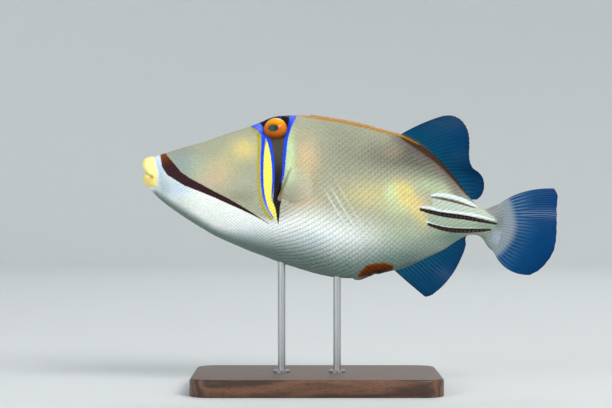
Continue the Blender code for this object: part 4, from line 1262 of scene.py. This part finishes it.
def make_nostrils():
    """Two short raised tubes ahead of each eye."""
    plain, faces = lathe(NOSTRIL_PROFILE, 24)
    points, all_faces, dark = [], [], []
    for side in (LEFT, RIGHT):
        for s, h in NOSTRILS:
            normal = flank_normal(s, h, side)
            across = np.cross(normal, (0, 0, 1.0))
            across /= np.linalg.norm(across)
            frame_axes = np.stack([across, np.cross(normal, across), normal])
            middle = np.array([s, side * flank(s, h), h])
            all_faces.append(faces + len(points) * len(plain))
            points.append(middle + plain @ frame_axes)
            dark.append(np.hypot(plain[:, 0], plain[:, 1]) < NOSTRIL_HOLE)
    flat = np.concatenate(points)
    values = markings(flat)
    # The bottom of each nostril's hole is painted dark, as painted shade
    values["slit"] = np.where(np.concatenate(dark), 0.6, -9)
    made = mesh_object("nostrils", place(flat), [np.concatenate(all_faces)], own_skin(), values)
    face_outwards(made)
    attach(made, "root")


def horn_material(name, colour, pale):
    """Fish spine, bone in thin horny skin, grown in layers along its length.

    The eye sees a dull dark surface shifted towards a second colour where marked: on the tail stem's
    thorns a painted sheen, paler towards their tips.
    """
    look, tree, where = new_material(name)
    # Layers about 1 mm thick and 8 mm long
    stretched = add(tree, "Mapping", {"Vector": where, "Scale": (120, 900, 900)}).outputs["Vector"]
    grain = add(tree, "TexNoise", {"Vector": stretched, "Scale": 1.0, "Detail": 4}).outputs["Fac"]
    toned = varied(tree, tinted(tree, colour, "tip", pale, 1.0), grain, 0.75, 1.2)
    bump = add(tree, "Bump", {"Strength": 0.4, "Distance": 0.0001, "Height": grain})
    finish_material(tree, {
        "Base Color": toned,
        "Roughness": 0.42,
        "IOR": 1.54,
        "Normal": bump.outputs["Normal"],
        "Coat Weight": 0.2,
        "Coat Roughness": 0.25,
    })
    return look


def make_stem_spines():
    """Rows of small thorns on the tail stem, hooked forwards."""
    turn = full_turn(THORN_SIDES)[:, None]
    points, tips = [], []
    random = np.random.default_rng(21)
    for side in (LEFT, RIGHT):
        for (row, count), width in zip(SPINE_ROWS, ROW_WIDTHS):
            faint = 0.8 if width == min(ROW_WIDTHS) else 0
            for share in np.linspace(0, 1, count):
                s, h = along(row, share)
                size = (0.62 + 0.38 * math.sin(math.pi * share)) * random.uniform(0.9, 1.08)
                size *= math.sqrt(width / ROW_WIDTHS[1])
                normal = flank_normal(s, h, side)
                root = np.array([s, side * flank(s, h), h]) - normal * THORN_SUNK
                ring = np.cos(turn) * (1.35, 0, 0) + np.sin(turn) * np.cross(normal, (0.8, 0, 0))
                for level in np.linspace(0, 1, THORN_LOOPS):
                    lean = np.array([-THORN_FORWARD * level**1.7, 0, 0])
                    rise = normal * level * (THORN_HEIGHT + THORN_SUNK)
                    radius = THORN_RADIUS * size * (1 - level) ** 0.75 + 0.03
                    points.append(root + (rise + lean) * size + ring * radius)
                    # Paler towards each thorn's tip as a painted sheen; the upper row's thorns are
                    # paler brown all over
                    tips.append(np.full(THORN_SIDES, faint + 0.5 * level**3))
    made = mesh_object(
        "stem_spines",
        place(np.concatenate(points)),
        [tube_faces(THORN_LOOPS, THORN_SIDES, len(points) // THORN_LOOPS)],
        horn_material("dark_thorn_horn", bpy.context.scene.triggerfish_skin.row, linear("#54403A")),
        {"tip": np.concatenate(tips)},
    )
    face_outwards(made, fill=True)
    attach(made, "root")


def tube_faces(loops, sides, count):
    """Faces of that many open tubes, one after the other."""
    starts = np.arange(count)[:, None, None] * loops * sides
    return (starts + grid_faces(loops, sides, wrap=True)).reshape(-1, 4)


def tube_points(s, aside, height, thick, turn):
    """(s, y, h) points round a tube along the fish, with its middle and thickness by s."""
    y, h = aside + thick * np.sin(turn), height + thick * np.cos(turn)
    return np.stack(np.broadcast_arrays(s[:, None], y, h), -1).reshape(-1, 3)


def make_folded_spines():
    """First dorsal fin, folded: three spines side by side in the back's groove."""
    sides, loops = 24, 60
    share = np.linspace(0, 1, loops)
    round_end = 0.3 + 0.7 * np.sqrt(1 - (1 - np.minimum(share / 0.12, 1)) ** 2)
    ridges = 1 + 0.05 * np.sin(share * 90)
    points = []
    for start, end, radius, aside in FOLDED_SPINES:
        thick = (blend((radius, 0.35), share) * round_end * ridges)[:, None]
        s = blend((start, end), share)
        height = smooth(BACK_LINE, s)[:, None] - 0.45 - 0.3 * thick
        offset = (-aside * np.sin(math.pi * (0.35 + 0.65 * share)))[:, None]
        points.append(tube_points(s, offset, height, thick, full_turn(sides)))
    made = mesh_object(
        "folded_spines",
        place(np.concatenate(points)),
        [tube_faces(loops, sides, len(points))],
        horn_material("ochre_spine_skin", bpy.context.scene.triggerfish_fins.spine, linear("#8A5A14")),
        {"tip": np.tile(np.repeat(0.5 * share**2, sides), len(points))},
    )
    face_outwards(made, fill=True)
    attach(made, "root")
    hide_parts("spiny_dorsal_fin")


def make_pelvic_stub():
    """Blunt, scaly stub of the joined pelvic fins on the keel."""
    sides, loops = 32, 40
    turn = full_turn(sides)
    share = np.linspace(0, 1, loops)
    s = blend(PELVIC_STUB, share)
    thick = PELVIC_STUB_RADIUS * (0.35 + 0.65 * np.sin(math.pi * np.minimum(share + 0.12, 1)))
    knobs = 1 + 0.1 * np.sin(share * 44)[:, None] * np.cos(turn * 6)[None]
    thick = thick[:, None] * knobs
    height = smooth(BELLY_LINE, s)[:, None] + 0.25 * thick
    made = mesh_object(
        "pelvic_knob",
        place(tube_points(s, 0, height, thick, turn)),
        [tube_faces(loops, sides, 1)],
        horn_material("pelvic_knob_skin", linear("#6E3A10"), linear("#67756C")),
        {"tip": np.repeat(ease(0.7, 0.1, share), sides)},
    )
    face_outwards(made, fill=True)
    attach(made, "root")
    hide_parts("pelvic_stub")


def notched(t, rays):
    """Reach of the margin at t: in full at each ray and a little less between two."""
    return 1 - WEB_NOTCH * np.abs(np.sin(math.pi * t * (rays - 1)))


def ray_share(t, r, rays, forks=()):
    """From 0 on the web to 1 on the crest of a ray, which splits in two at each fork."""
    place_in_ray = (t * (rays - 1) + 0.5) % 1 - 0.5
    split, width = place_in_ray, 0.5
    for low, high in forks:
        width /= 2
        open_share = ease(low, high, r)
        split = np.abs(split) - width * open_share
    narrow = 0.2 * (1 - 0.45 * r) / (1 + 0.9 * len(forks) * r)
    return np.clip(1 - np.abs(split) / np.maximum(narrow, 0.05), 0, 1)


def fin_grid(rays, columns, rows):
    """Shares t over the fin and r up its rays for every column and row."""
    t, r = np.linspace(0, 1, (rays - 1) * columns + 1), np.linspace(0, 1, rows)
    return np.meshgrid(t, r, indexing="ij")


def fin_object(name, middle, half, look, values):
    """Closed fin whose middle is a grid of (s, y, h) and half its thickness a grid of mm."""
    normal = np.cross(np.gradient(middle, axis=0), np.gradient(middle, axis=1))
    normal /= np.linalg.norm(normal, axis=2, keepdims=True)
    columns, rows = half.shape
    sheets = np.concatenate([middle + normal * half[..., None], middle - normal * half[..., None]])
    front = grid_faces(columns, rows)
    back = front[:, ::-1] + columns * rows
    grid = np.arange(columns * rows).reshape(columns, rows)
    ids = np.concatenate([grid[:-1, 0], grid[-1, :-1], grid[:0:-1, -1], grid[0, :0:-1]])
    after = np.roll(ids, -1)
    rim = np.stack([after, ids, ids + columns * rows, after + columns * rows], -1)
    doubled = {label: np.tile(array.ravel(), 2) for label, array in values.items()}
    made = mesh_object(name, place(sheets).reshape(-1, 3), [front, back, rim], look, doubled)
    face_outwards(made)
    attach(made, "root")
    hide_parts(name)
    return made


def fin_material(name, web, edge, ray, root, web_alpha):
    """Fin web, thin clear skin between bony rays, wet with mucus.

    The eye sees a see-through tinted film, denser and paler on the rays and towards the root,
    with a soft wet gloss.
    """
    look, tree, where = new_material(name)
    on_ray = add(tree, "Attribute", attribute_name="ray").outputs["Fac"]
    # Clouding of the film over 7 mm
    cloud = add(tree, "TexNoise", {"Vector": where, "Scale": 140, "Detail": 4}).outputs["Fac"]
    colour = varied(tree, tinted(tree, web, "reach", edge, 1.0), cloud, 0.8, 1.2)
    colour = tinted(tree, colour, "ray_colour", ray, 1.0)
    colour = tinted(tree, colour, "flesh", root, 1.0)
    # Joints of the rays, really every 0.5 mm, drawn every 1.2 mm so that they show
    joints = add(tree, "Attribute", attribute_name="joint").outputs["Fac"]
    bump = add(tree, "Bump", {"Strength": 0.3, "Distance": 0.0001, "Height": joints})
    flesh = add(tree, "Attribute", attribute_name="flesh").outputs["Fac"]
    dense = add(tree, "Math", {0: on_ray, 1: 0.25, 2: web_alpha}, operation="MULTIPLY_ADD").outputs[0]
    alpha = add(tree, "Math", {0: dense, 1: flesh}, operation="ADD", use_clamp=True).outputs[0]
    finish_material(tree, {
        "Base Color": colour,
        "Roughness": 0.38,
        "IOR": 1.4,
        "Specular IOR Level": 0.07,
        "Alpha": alpha,
        "Normal": bump.outputs["Normal"],
        "Coat Weight": 0.03,
        "Coat Roughness": 0.2,
    })
    return look


def upright_surface(t, r, fin):
    """Middle of a fin that stands on a line of the body, with its root sunk in it."""
    s = blend(fin["root"], t)
    end = along(fin["margin"], t)
    start = np.stack([s, smooth(fin["line"], s)], -1)
    way = end - start
    start = start - way / np.linalg.norm(way, axis=-1, keepdims=True) * ROOT_SUNK
    r = r * notched(t, fin["rays"])
    bend = (start + end) / 2
    bend[..., 1] += fin["bow"] * (1 - t)
    at = curve_to(start, bend, end, r)
    height, turns, phase = fin["wave"]
    aside = height * r**1.7 * np.sin(2 * math.pi * (turns * t + phase))
    return np.stack([at[..., 0], aside, at[..., 1]], -1)


def make_upright_fin(name, fin, base_colour):
    """Soft dorsal or anal fin with its rays."""
    sizes = bpy.context.scene.triggerfish_sizes
    tones = bpy.context.scene.triggerfish_fins
    t, r = fin_grid(fin["rays"], sizes.ray_columns, sizes.fin_rows)
    ray = ray_share(t, r, fin["rays"], ((0.45, 0.8),))
    half = 0.14 + 0.36 * (1 - r) ** 2 + ray * blend((0.34, 0.1), r)
    look = fin_material(name + "_film", tones.web, tones.web_edge, tones.ray, base_colour, 0.98)
    values = {
        "reach": r,
        "ray": ray,
        "ray_colour": ray * (0.6 - 0.4 * r),
        "joint": ray * (0.5 + 0.5 * np.sin(r * 150)),
        "flesh": 1 - ease(0.02, 0.1, r),
    }
    fin_object(name, upright_surface(t, r, fin), half, look, values)


def tail_surface(t, r):
    """Middle of the tail fin, whose rays fan out from the tail stem's end."""
    top, bottom = np.array(TAIL_ROOT)
    start = blend((top, bottom), t[..., None])
    end = along(TAIL_MARGIN, t)
    top_pull = TAIL_TOP_BEND - (top + TAIL_MARGIN[0]) / 2
    bottom_pull = TAIL_BOTTOM_BEND - (bottom + TAIL_MARGIN[-1]) / 2
    bend = (start + end) / 2
    bend = bend + top_pull * (np.maximum(1 - 2 * t, 0) ** 1.5)[..., None]
    bend = bend + bottom_pull * (np.maximum(2 * t - 1, 0) ** 1.5)[..., None]
    start = start - np.stack([0 * t + TAIL_SUNK[0], TAIL_SUNK[1] * (1 - 2 * t)], -1)
    r = r * notched(t, TAIL_RAYS)
    at = curve_to(start, bend, end, r)
    aside = TAIL_CURVE * r * r + TAIL_RIPPLE * r * np.cos(2 * math.pi * t)
    return np.stack([at[..., 0], aside, at[..., 1]], -1)


def make_tail_fin():
    """Tail fin of forked rays."""
    sizes = bpy.context.scene.triggerfish_sizes
    tones = bpy.context.scene.triggerfish_fins
    t, r = fin_grid(TAIL_RAYS, 2 * sizes.ray_columns, sizes.fin_rows + TAIL_EXTRA_ROWS)
    ray = ray_share(t, r, TAIL_RAYS, TAIL_FORKS)
    half = 0.16 + 1.1 * (1 - r) ** 6 * (1 - (2 * t - 1) ** 4) + ray * blend((0.24, 0.08), r)
    look = fin_material(
        "tail_fin_film", tones.tail_web, tones.tail_web_edge, tones.tail_ray, tones.tail_flesh, 0.98
    )
    stem_end = TAIL_FLESH[0] + TAIL_FLESH[1] * (1 - (2 * t - 1) ** 2)
    pale_root = blend((0.65, 0.3), ease(0.4, 0.6, t)) * (1 - ease(0.1, 0.7, r))
    pale_line = bell(t * (TAIL_RAYS - 1) - TAIL_PALE_RAY, 0.5) * ease(0.25, 0.4, r)
    values = {
        "reach": r,
        "ray": ray,
        "ray_colour": ray * np.maximum(pale_root, 0.6 * pale_line),
        "joint": ray * (0.5 + 0.5 * np.sin(r * 170)),
        "flesh": ease(0.15, 0, r - stem_end),
    }
    fin_object("tail_fin", tail_surface(t, r), half, look, values)


def pectoral_surface(t, r, side):
    """Middle of the pectoral fin on that side, a cupped fan raised off the flank."""
    root = blend(np.array(PECTORAL_ROOT), t[..., None])
    s, h = root[..., 0], root[..., 1]
    angle, spread = np.radians(blend(PECTORAL_ANGLES, t)), np.radians(blend(PECTORAL_SPREAD, t))
    reach = smooth(PECTORAL_LENGTHS, t) * r * notched(t, PECTORAL_RAYS)
    y = flank(s, h) - 1.2 + reach * np.sin(spread) + PECTORAL_CUP * np.sin(2.8 * r)
    level = reach * np.cos(spread)
    return np.stack([s + level * np.cos(angle), side * y, h + level * np.sin(angle)], -1)


def make_pectoral(side):
    """Pectoral fin of one side with its fleshy root."""
    sizes = bpy.context.scene.triggerfish_sizes
    tones = bpy.context.scene.triggerfish_fins
    t, r = fin_grid(PECTORAL_RAYS, sizes.ray_columns, sizes.fin_rows)
    ray = ray_share(t, r, PECTORAL_RAYS, ((0.4, 0.75),))
    half = 0.11 + 0.9 * np.exp(-r / 0.09) + ray * blend((0.28, 0.08), r)
    name = "pectoral_fin_film"
    look = bpy.data.materials.get(name) or fin_material(
        name, tones.pectoral_web, tones.pectoral_web, tones.pectoral_ray, linear("#A58F6E"), 0.12
    )
    # Distance from the fin's front edge, which a darker band follows
    behind_edge = t * (np.ptp(PECTORAL_ROOT, axis=0)[0] + PECTORAL_WIDENING * r)
    leading = (1 - ease(0.4, 1.0, behind_edge / PECTORAL_BAND)) * (1 - 0.5 * r)
    values = {
        "reach": r,
        "ray": np.clip(0.4 * ray + 1.1 * (1 - r) + 2.2 * leading, 0, 2.6),
        "ray_colour": np.clip(ray * (0.3 - 0.2 * r) + leading, 0, 1),
        "joint": ray * (0.5 + 0.5 * np.sin(r * 120)),
        "flesh": 1 - ease(0.06, 0.2, r),
    }
    name = "pectoral_fin_left" if side == LEFT else "pectoral_fin_right"
    fin_object(name, pectoral_surface(t, r, side), half, look, values)


def wood_material():
    """Walnut, planed and oiled.

    The eye sees dark brown growth rings drawn out along the board, fine dark pores and a
    satin sheen.
    """
    look, tree, where = new_material("oiled_walnut")
    # Growth rings about 3 mm apart, drawn out along the board
    tilt = {"Vector": where, "Scale": (9, 60, 60), "Rotation": (0.06, 0.04, 0.1)}
    drawn = add(tree, "Mapping", tilt).outputs[0]
    sway = add(tree, "TexNoise", {"Vector": drawn, "Scale": 1.2, "Detail": 3}).outputs["Color"]
    bent = add(tree, "Mix", {0: 0.35, 4: drawn, 5: sway}, data_type="VECTOR").outputs[1]
    bends = {"Vector": bent, "Scale": 2.6, "Distortion": 3.0, "Detail": 3, "Detail Scale": 1.4}
    rings = add(tree, "TexWave", bends, wave_type="RINGS", rings_direction="X").outputs["Fac"]
    # Pores about 0.2 mm wide and 3 mm long, drawn twice as wide so that they show
    fine = add(tree, "Mapping", {"Vector": where, "Scale": (300, 2600, 2600)}).outputs[0]
    pores = add(tree, "TexNoise", {"Vector": fine, "Scale": 1.0, "Detail": 3}).outputs["Fac"]
    pit = add(tree, "MapRange", {"Value": pores, "From Min": 0.32, "From Max": 0.45}).outputs[0]
    tones = {0: rings, 6: linear("#3A2216"), 7: linear("#6E4830")}
    colour = add(tree, "Mix", tones, data_type="RGBA").outputs[2]
    dark = add(tree, "Mix", {0: pit, 6: linear("#22130C"), 7: colour}, data_type="RGBA")
    bump = add(tree, "Bump", {"Strength": 0.25, "Distance": 0.0002, "Height": pit})
    rough = add(tree, "MapRange", {"Value": rings, "To Min": 0.36, "To Max": 0.48}).outputs[0]
    finish_material(tree, {
        "Base Color": dark.outputs[2],
        "Roughness": rough,
        "IOR": 1.5,
        "Normal": bump.outputs["Normal"],
        "Coat Weight": 0.12,
        "Coat Roughness": 0.3,
    })
    return look


def steel_material():
    """Stainless steel, brushed along the rod.

    The eye sees a grey metal with fine long scratches and a soft drawn-out gloss.
    """
    look, tree, where = new_material("brushed_stainless_steel")
    # Scratches about 0.05 mm wide, drawn about 0.4 mm wide so that they show
    drawn = add(tree, "Mapping", {"Vector": where, "Scale": (2400, 2400, 60)}).outputs[0]
    scratch = add(tree, "TexNoise", {"Vector": drawn, "Scale": 1.0, "Detail": 3}).outputs["Fac"]
    rough = add(tree, "MapRange", {"Value": scratch, "To Min": 0.2, "To Max": 0.42}).outputs[0]
    colour = varied(tree, linear("#B9BABC"), scratch, 0.88, 1.08)
    bump = add(tree, "Bump", {"Strength": 0.15, "Distance": 0.0001, "Height": scratch})
    finish_material(tree, {
        "Base Color": colour,
        "Metallic": 1.0,
        "Roughness": rough,
        "Normal": bump.outputs["Normal"],
    })
    return look


def base_loop(inset):
    """Outline of the base drawn in by inset, with rounded corners."""
    corner = BASE_CORNER - inset
    reach = BASE_SIZE[0] / 2 - BASE_CORNER, BASE_SIZE[1] / 2 - BASE_CORNER
    points = []
    for quarter, (x, y) in enumerate(((1, 1), (-1, 1), (-1, -1), (1, -1))):
        for angle in np.radians(np.linspace(90 * quarter, 90 * quarter + 90, 17)):
            spot = x * reach[0] + corner * math.cos(angle), y * reach[1] + corner * math.sin(angle)
            points.append(spot)
    return np.array(points)


def make_base():
    """Flat wooden base with rounded edges."""
    profile = [(0.6, 0.0), (0.18, 0.18), (0.0, 0.6)]
    for angle in np.radians(np.linspace(0, 90, 7)):
        inset, rise = BASE_EDGE * (1 - math.cos(angle)), BASE_EDGE * math.sin(angle)
        profile.append((inset, BASE_SIZE[2] - BASE_EDGE + rise))
    middle = BASE_MIDDLE - TOTAL_LENGTH / 2
    loops = []
    for inset, z in profile:
        flat = base_loop(inset)
        loops.append(np.column_stack([flat[:, 0] + middle, flat[:, 1], np.full(len(flat), z)]))
    count = len(loops[0])
    lids = np.array([np.arange(count)[::-1], np.arange(count) + (len(loops) - 1) * count])
    base = mesh_object(
        "stand_wooden_base",
        np.concatenate(loops) * MM,
        [grid_faces(len(loops), count, wrap=True), lids],
        wood_material(),
    )
    face_outwards(base)
    base.data.set_sharp_from_angle(angle=SHARP_ANGLE)
    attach(base, "root")
    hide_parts("stand_base")


def make_rods():
    """Two round rods, each with a turned collar on the base."""
    steel = steel_material()
    for name, s in ROD_PLACES.items():
        top = DATUM_HEIGHT + float(smooth(BELLY_LINE, s)) + ROD_IN_BODY
        low = BASE_SIZE[2] - ROD_IN_BASE
        seat = BASE_SIZE[2] - 0.05
        foot = [(0.05, low), (ROD_RADIUS - 0.3, low), (ROD_RADIUS, low + 0.3), (ROD_RADIUS, seat)]
        head = [(ROD_RADIUS, top - 0.3), (ROD_RADIUS - 0.3, top), (0.05, top)]
        collar = [(radius, seat + rise) for radius, rise in COLLAR]
        plain, faces = lathe([*foot, *collar, *head], 48)
        points = (plain + np.array([s - TOTAL_LENGTH / 2, 0, 0])) * MM
        rod = mesh_object(name.replace("stand_rod", "stand_steel_rod"), points, [faces], steel)
        face_outwards(rod, fill=True)
        rod.data.set_sharp_from_angle(angle=SHARP_ANGLE)
        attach(rod, "root")
        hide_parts(name)


def backdrop_material():
    """Backdrop board, rolled with matt emulsion paint.

    The eye sees an even pale grey with next to no gloss.
    """
    look, tree, where = new_material("matt_emulsion_paint")
    # Roller stipple about 2 mm across
    stipple = add(tree, "TexNoise", {"Vector": where, "Scale": 500, "Detail": 2}).outputs["Fac"]
    tone = bpy.context.scene.triggerfish_stage.backdrop
    colour = varied(tree, tone, stipple, 0.985, 1.015)
    finish_material(tree, {"Base Color": colour, "Roughness": 0.9, "IOR": 1.45})
    return look


def make_backdrop():
    """Round studio floor whose rim curves up into a wall all round."""
    profile = [(radius, 0.0) for radius in (0.001, 0.5, 1.0, 1.5, FLOOR_RADIUS)]
    for angle in np.radians(np.linspace(6, 90, 15)):
        spot = FLOOR_RADIUS + BEND_RADIUS * math.sin(angle), BEND_RADIUS * (1 - math.cos(angle))
        profile.append(spot)
    profile.append((FLOOR_RADIUS + BEND_RADIUS, WALL_HEIGHT))
    points, faces = lathe(profile, 128)
    backdrop = mesh_object("studio_floor", points, [faces], backdrop_material())


def add_light(name, spot, size, power, colour):
    """Soft square lamp that shines at the fish."""
    lamp = bpy.data.lights.new(name, "AREA")
    lamp.shape, lamp.size, lamp.energy, lamp.color = "SQUARE", size, power, linear(colour)[:3]
    made = bpy.data.objects.new(name, lamp)
    made.location = spot
    aim = Vector((0, 0, DATUM_HEIGHT * MM)) - Vector(spot)
    made.rotation_euler = aim.to_track_quat("-Z", "Y").to_euler()
    bpy.context.scene.collection.objects.link(made)


def make_studio():
    """Lights, even sky and the camera, with the fish as large as in the picture."""
    stage = bpy.context.scene.triggerfish_stage
    add_light("key_light", (1.25, -1.65, 1.55), 1.0, stage.key_power, "#FFFDF8")
    add_light("fill_light", (-1.5, -1.7, 0.8), 1.6, stage.fill_power, "#F2F7FF")
    add_light("rim_light", (0.4, 1.6, 1.7), 1.0, stage.rim_power, "#FFFFFF")
    world = bpy.data.worlds.new("studio_sky")
    world.use_nodes = True
    sky = world.node_tree.nodes["Background"]
    sky.inputs["Color"].default_value = linear("#F4F7F9")
    sky.inputs["Strength"].default_value = stage.world_strength
    bpy.context.scene.world = world
    bpy.context.scene.view_settings.view_transform = "Standard"
    data = bpy.data.cameras.new("camera")
    data.sensor_width = SENSOR_WIDTH
    data.lens = SENSOR_WIDTH * CAMERA_DISTANCE / VIEW_WIDTH
    data.clip_start, data.clip_end = 0.05, 20
    camera = bpy.data.objects.new("camera", data)
    camera.location = Vector((VIEW_MIDDLE[0], -CAMERA_DISTANCE, VIEW_MIDDLE[1])) * MM
    camera.rotation_euler = (math.pi / 2, 0, 0)
    bpy.context.scene.collection.objects.link(camera)
    bpy.context.scene.camera = camera


class TRIGGERFISH_OT_skin(bpy.types.Operator):
    """Make the skin that covers lips, head, trunk and tail stem"""

    bl_idname = "triggerfish.skin"
    bl_label = "Skin"

    def execute(self, context):
        make_skin()
        return {"FINISHED"}


class TRIGGERFISH_OT_scales(bpy.types.Operator):
    """Make the scales of both sides"""

    bl_idname = "triggerfish.scales"
    bl_label = "Scales"

    def execute(self, context):
        for side in (LEFT, RIGHT):
            make_scales(side)
        return {"FINISHED"}


class TRIGGERFISH_OT_eyes(bpy.types.Operator):
    """Make the two eyeballs"""

    bl_idname = "triggerfish.eyes"
    bl_label = "Eyes"

    def execute(self, context):
        for side in (LEFT, RIGHT):
            make_eye(side)
        return {"FINISHED"}


class TRIGGERFISH_OT_nostrils(bpy.types.Operator):
    """Make the nostrils ahead of the eyes"""

    bl_idname = "triggerfish.nostrils"
    bl_label = "Nostrils"

    def execute(self, context):
        make_nostrils()
        return {"FINISHED"}


class TRIGGERFISH_OT_spines(bpy.types.Operator):
    """Make the thorns of the tail stem, the folded dorsal spines and the pelvic stub"""

    bl_idname = "triggerfish.spines"
    bl_label = "Spines"

    def execute(self, context):
        make_stem_spines()
        make_folded_spines()
        make_pelvic_stub()
        return {"FINISHED"}


class TRIGGERFISH_OT_upright_fins(bpy.types.Operator):
    """Make the soft dorsal fin and the anal fin"""

    bl_idname = "triggerfish.upright_fins"
    bl_label = "Dorsal and anal fins"

    def execute(self, context):
        make_upright_fin("soft_dorsal_fin", DORSAL_FIN, linear("#6E5A34"))
        make_upright_fin("anal_fin", ANAL_FIN, linear("#A9B8BC"))
        return {"FINISHED"}


class TRIGGERFISH_OT_tail_fin(bpy.types.Operator):
    """Make the tail fin"""

    bl_idname = "triggerfish.tail_fin"
    bl_label = "Tail fin"

    def execute(self, context):
        make_tail_fin()
        return {"FINISHED"}


class TRIGGERFISH_OT_pectoral_fins(bpy.types.Operator):
    """Make the two pectoral fins"""

    bl_idname = "triggerfish.pectoral_fins"
    bl_label = "Pectoral fins"

    def execute(self, context):
        for side in (LEFT, RIGHT):
            make_pectoral(side)
        return {"FINISHED"}


class TRIGGERFISH_OT_stand(bpy.types.Operator):
    """Make the wooden base and the steel rods"""

    bl_idname = "triggerfish.stand"
    bl_label = "Stand"

    def execute(self, context):
        make_base()
        make_rods()
        return {"FINISHED"}


class TRIGGERFISH_OT_stage(bpy.types.Operator):
    """Make the backdrop, the lights and the camera"""

    bl_idname = "triggerfish.stage"
    bl_label = "Stage"

    def execute(self, context):
        make_backdrop()
        make_studio()
        return {"FINISHED"}


OPERATORS = (
    TRIGGERFISH_OT_stage,
    TRIGGERFISH_OT_skin,
    TRIGGERFISH_OT_scales,
    TRIGGERFISH_OT_eyes,
    TRIGGERFISH_OT_nostrils,
    TRIGGERFISH_OT_spines,
    TRIGGERFISH_OT_upright_fins,
    TRIGGERFISH_OT_tail_fin,
    TRIGGERFISH_OT_pectoral_fins,
    TRIGGERFISH_OT_stand,
)
GROUPS = {
    "triggerfish_skin": TriggerfishSkinColours,
    "triggerfish_fins": TriggerfishFinColours,
    "triggerfish_sizes": TriggerfishSizes,
    "triggerfish_stage": TriggerfishStage,
}


class TRIGGERFISH_PT_pieces(bpy.types.Panel):
    """Lists the triggerfish's pieces"""

    bl_label = "Triggerfish"
    bl_space_type = "VIEW_3D"
    bl_region_type = "UI"
    bl_category = "Triggerfish"

    def draw(self, context):
        for operator in OPERATORS:
            self.layout.operator(operator.bl_idname)


def register():
    """Registers the classes and adds their settings to the scene."""
    for group in (*GROUPS.values(), *OPERATORS, TRIGGERFISH_PT_pieces):
        bpy.utils.register_class(group)
    for name, group in GROUPS.items():
        setattr(bpy.types.Scene, name, PointerProperty(type=group))


def unregister():
    """Takes the settings and the classes away again."""
    for name in GROUPS:
        delattr(bpy.types.Scene, name)
    for group in reversed((*GROUPS.values(), *OPERATORS, TRIGGERFISH_PT_pieces)):
        bpy.utils.unregister_class(group)


def corners(box):
    """Lowest and highest corner of a box as plain lists."""
    return [list(corner) for corner in box]


def main():
    """Makes every piece and the stage."""
    register()
    for operator in OPERATORS:
        group, name = operator.bl_idname.split(".")
        getattr(getattr(bpy.ops, group), name)()


if __name__ == "__main__":
    main()
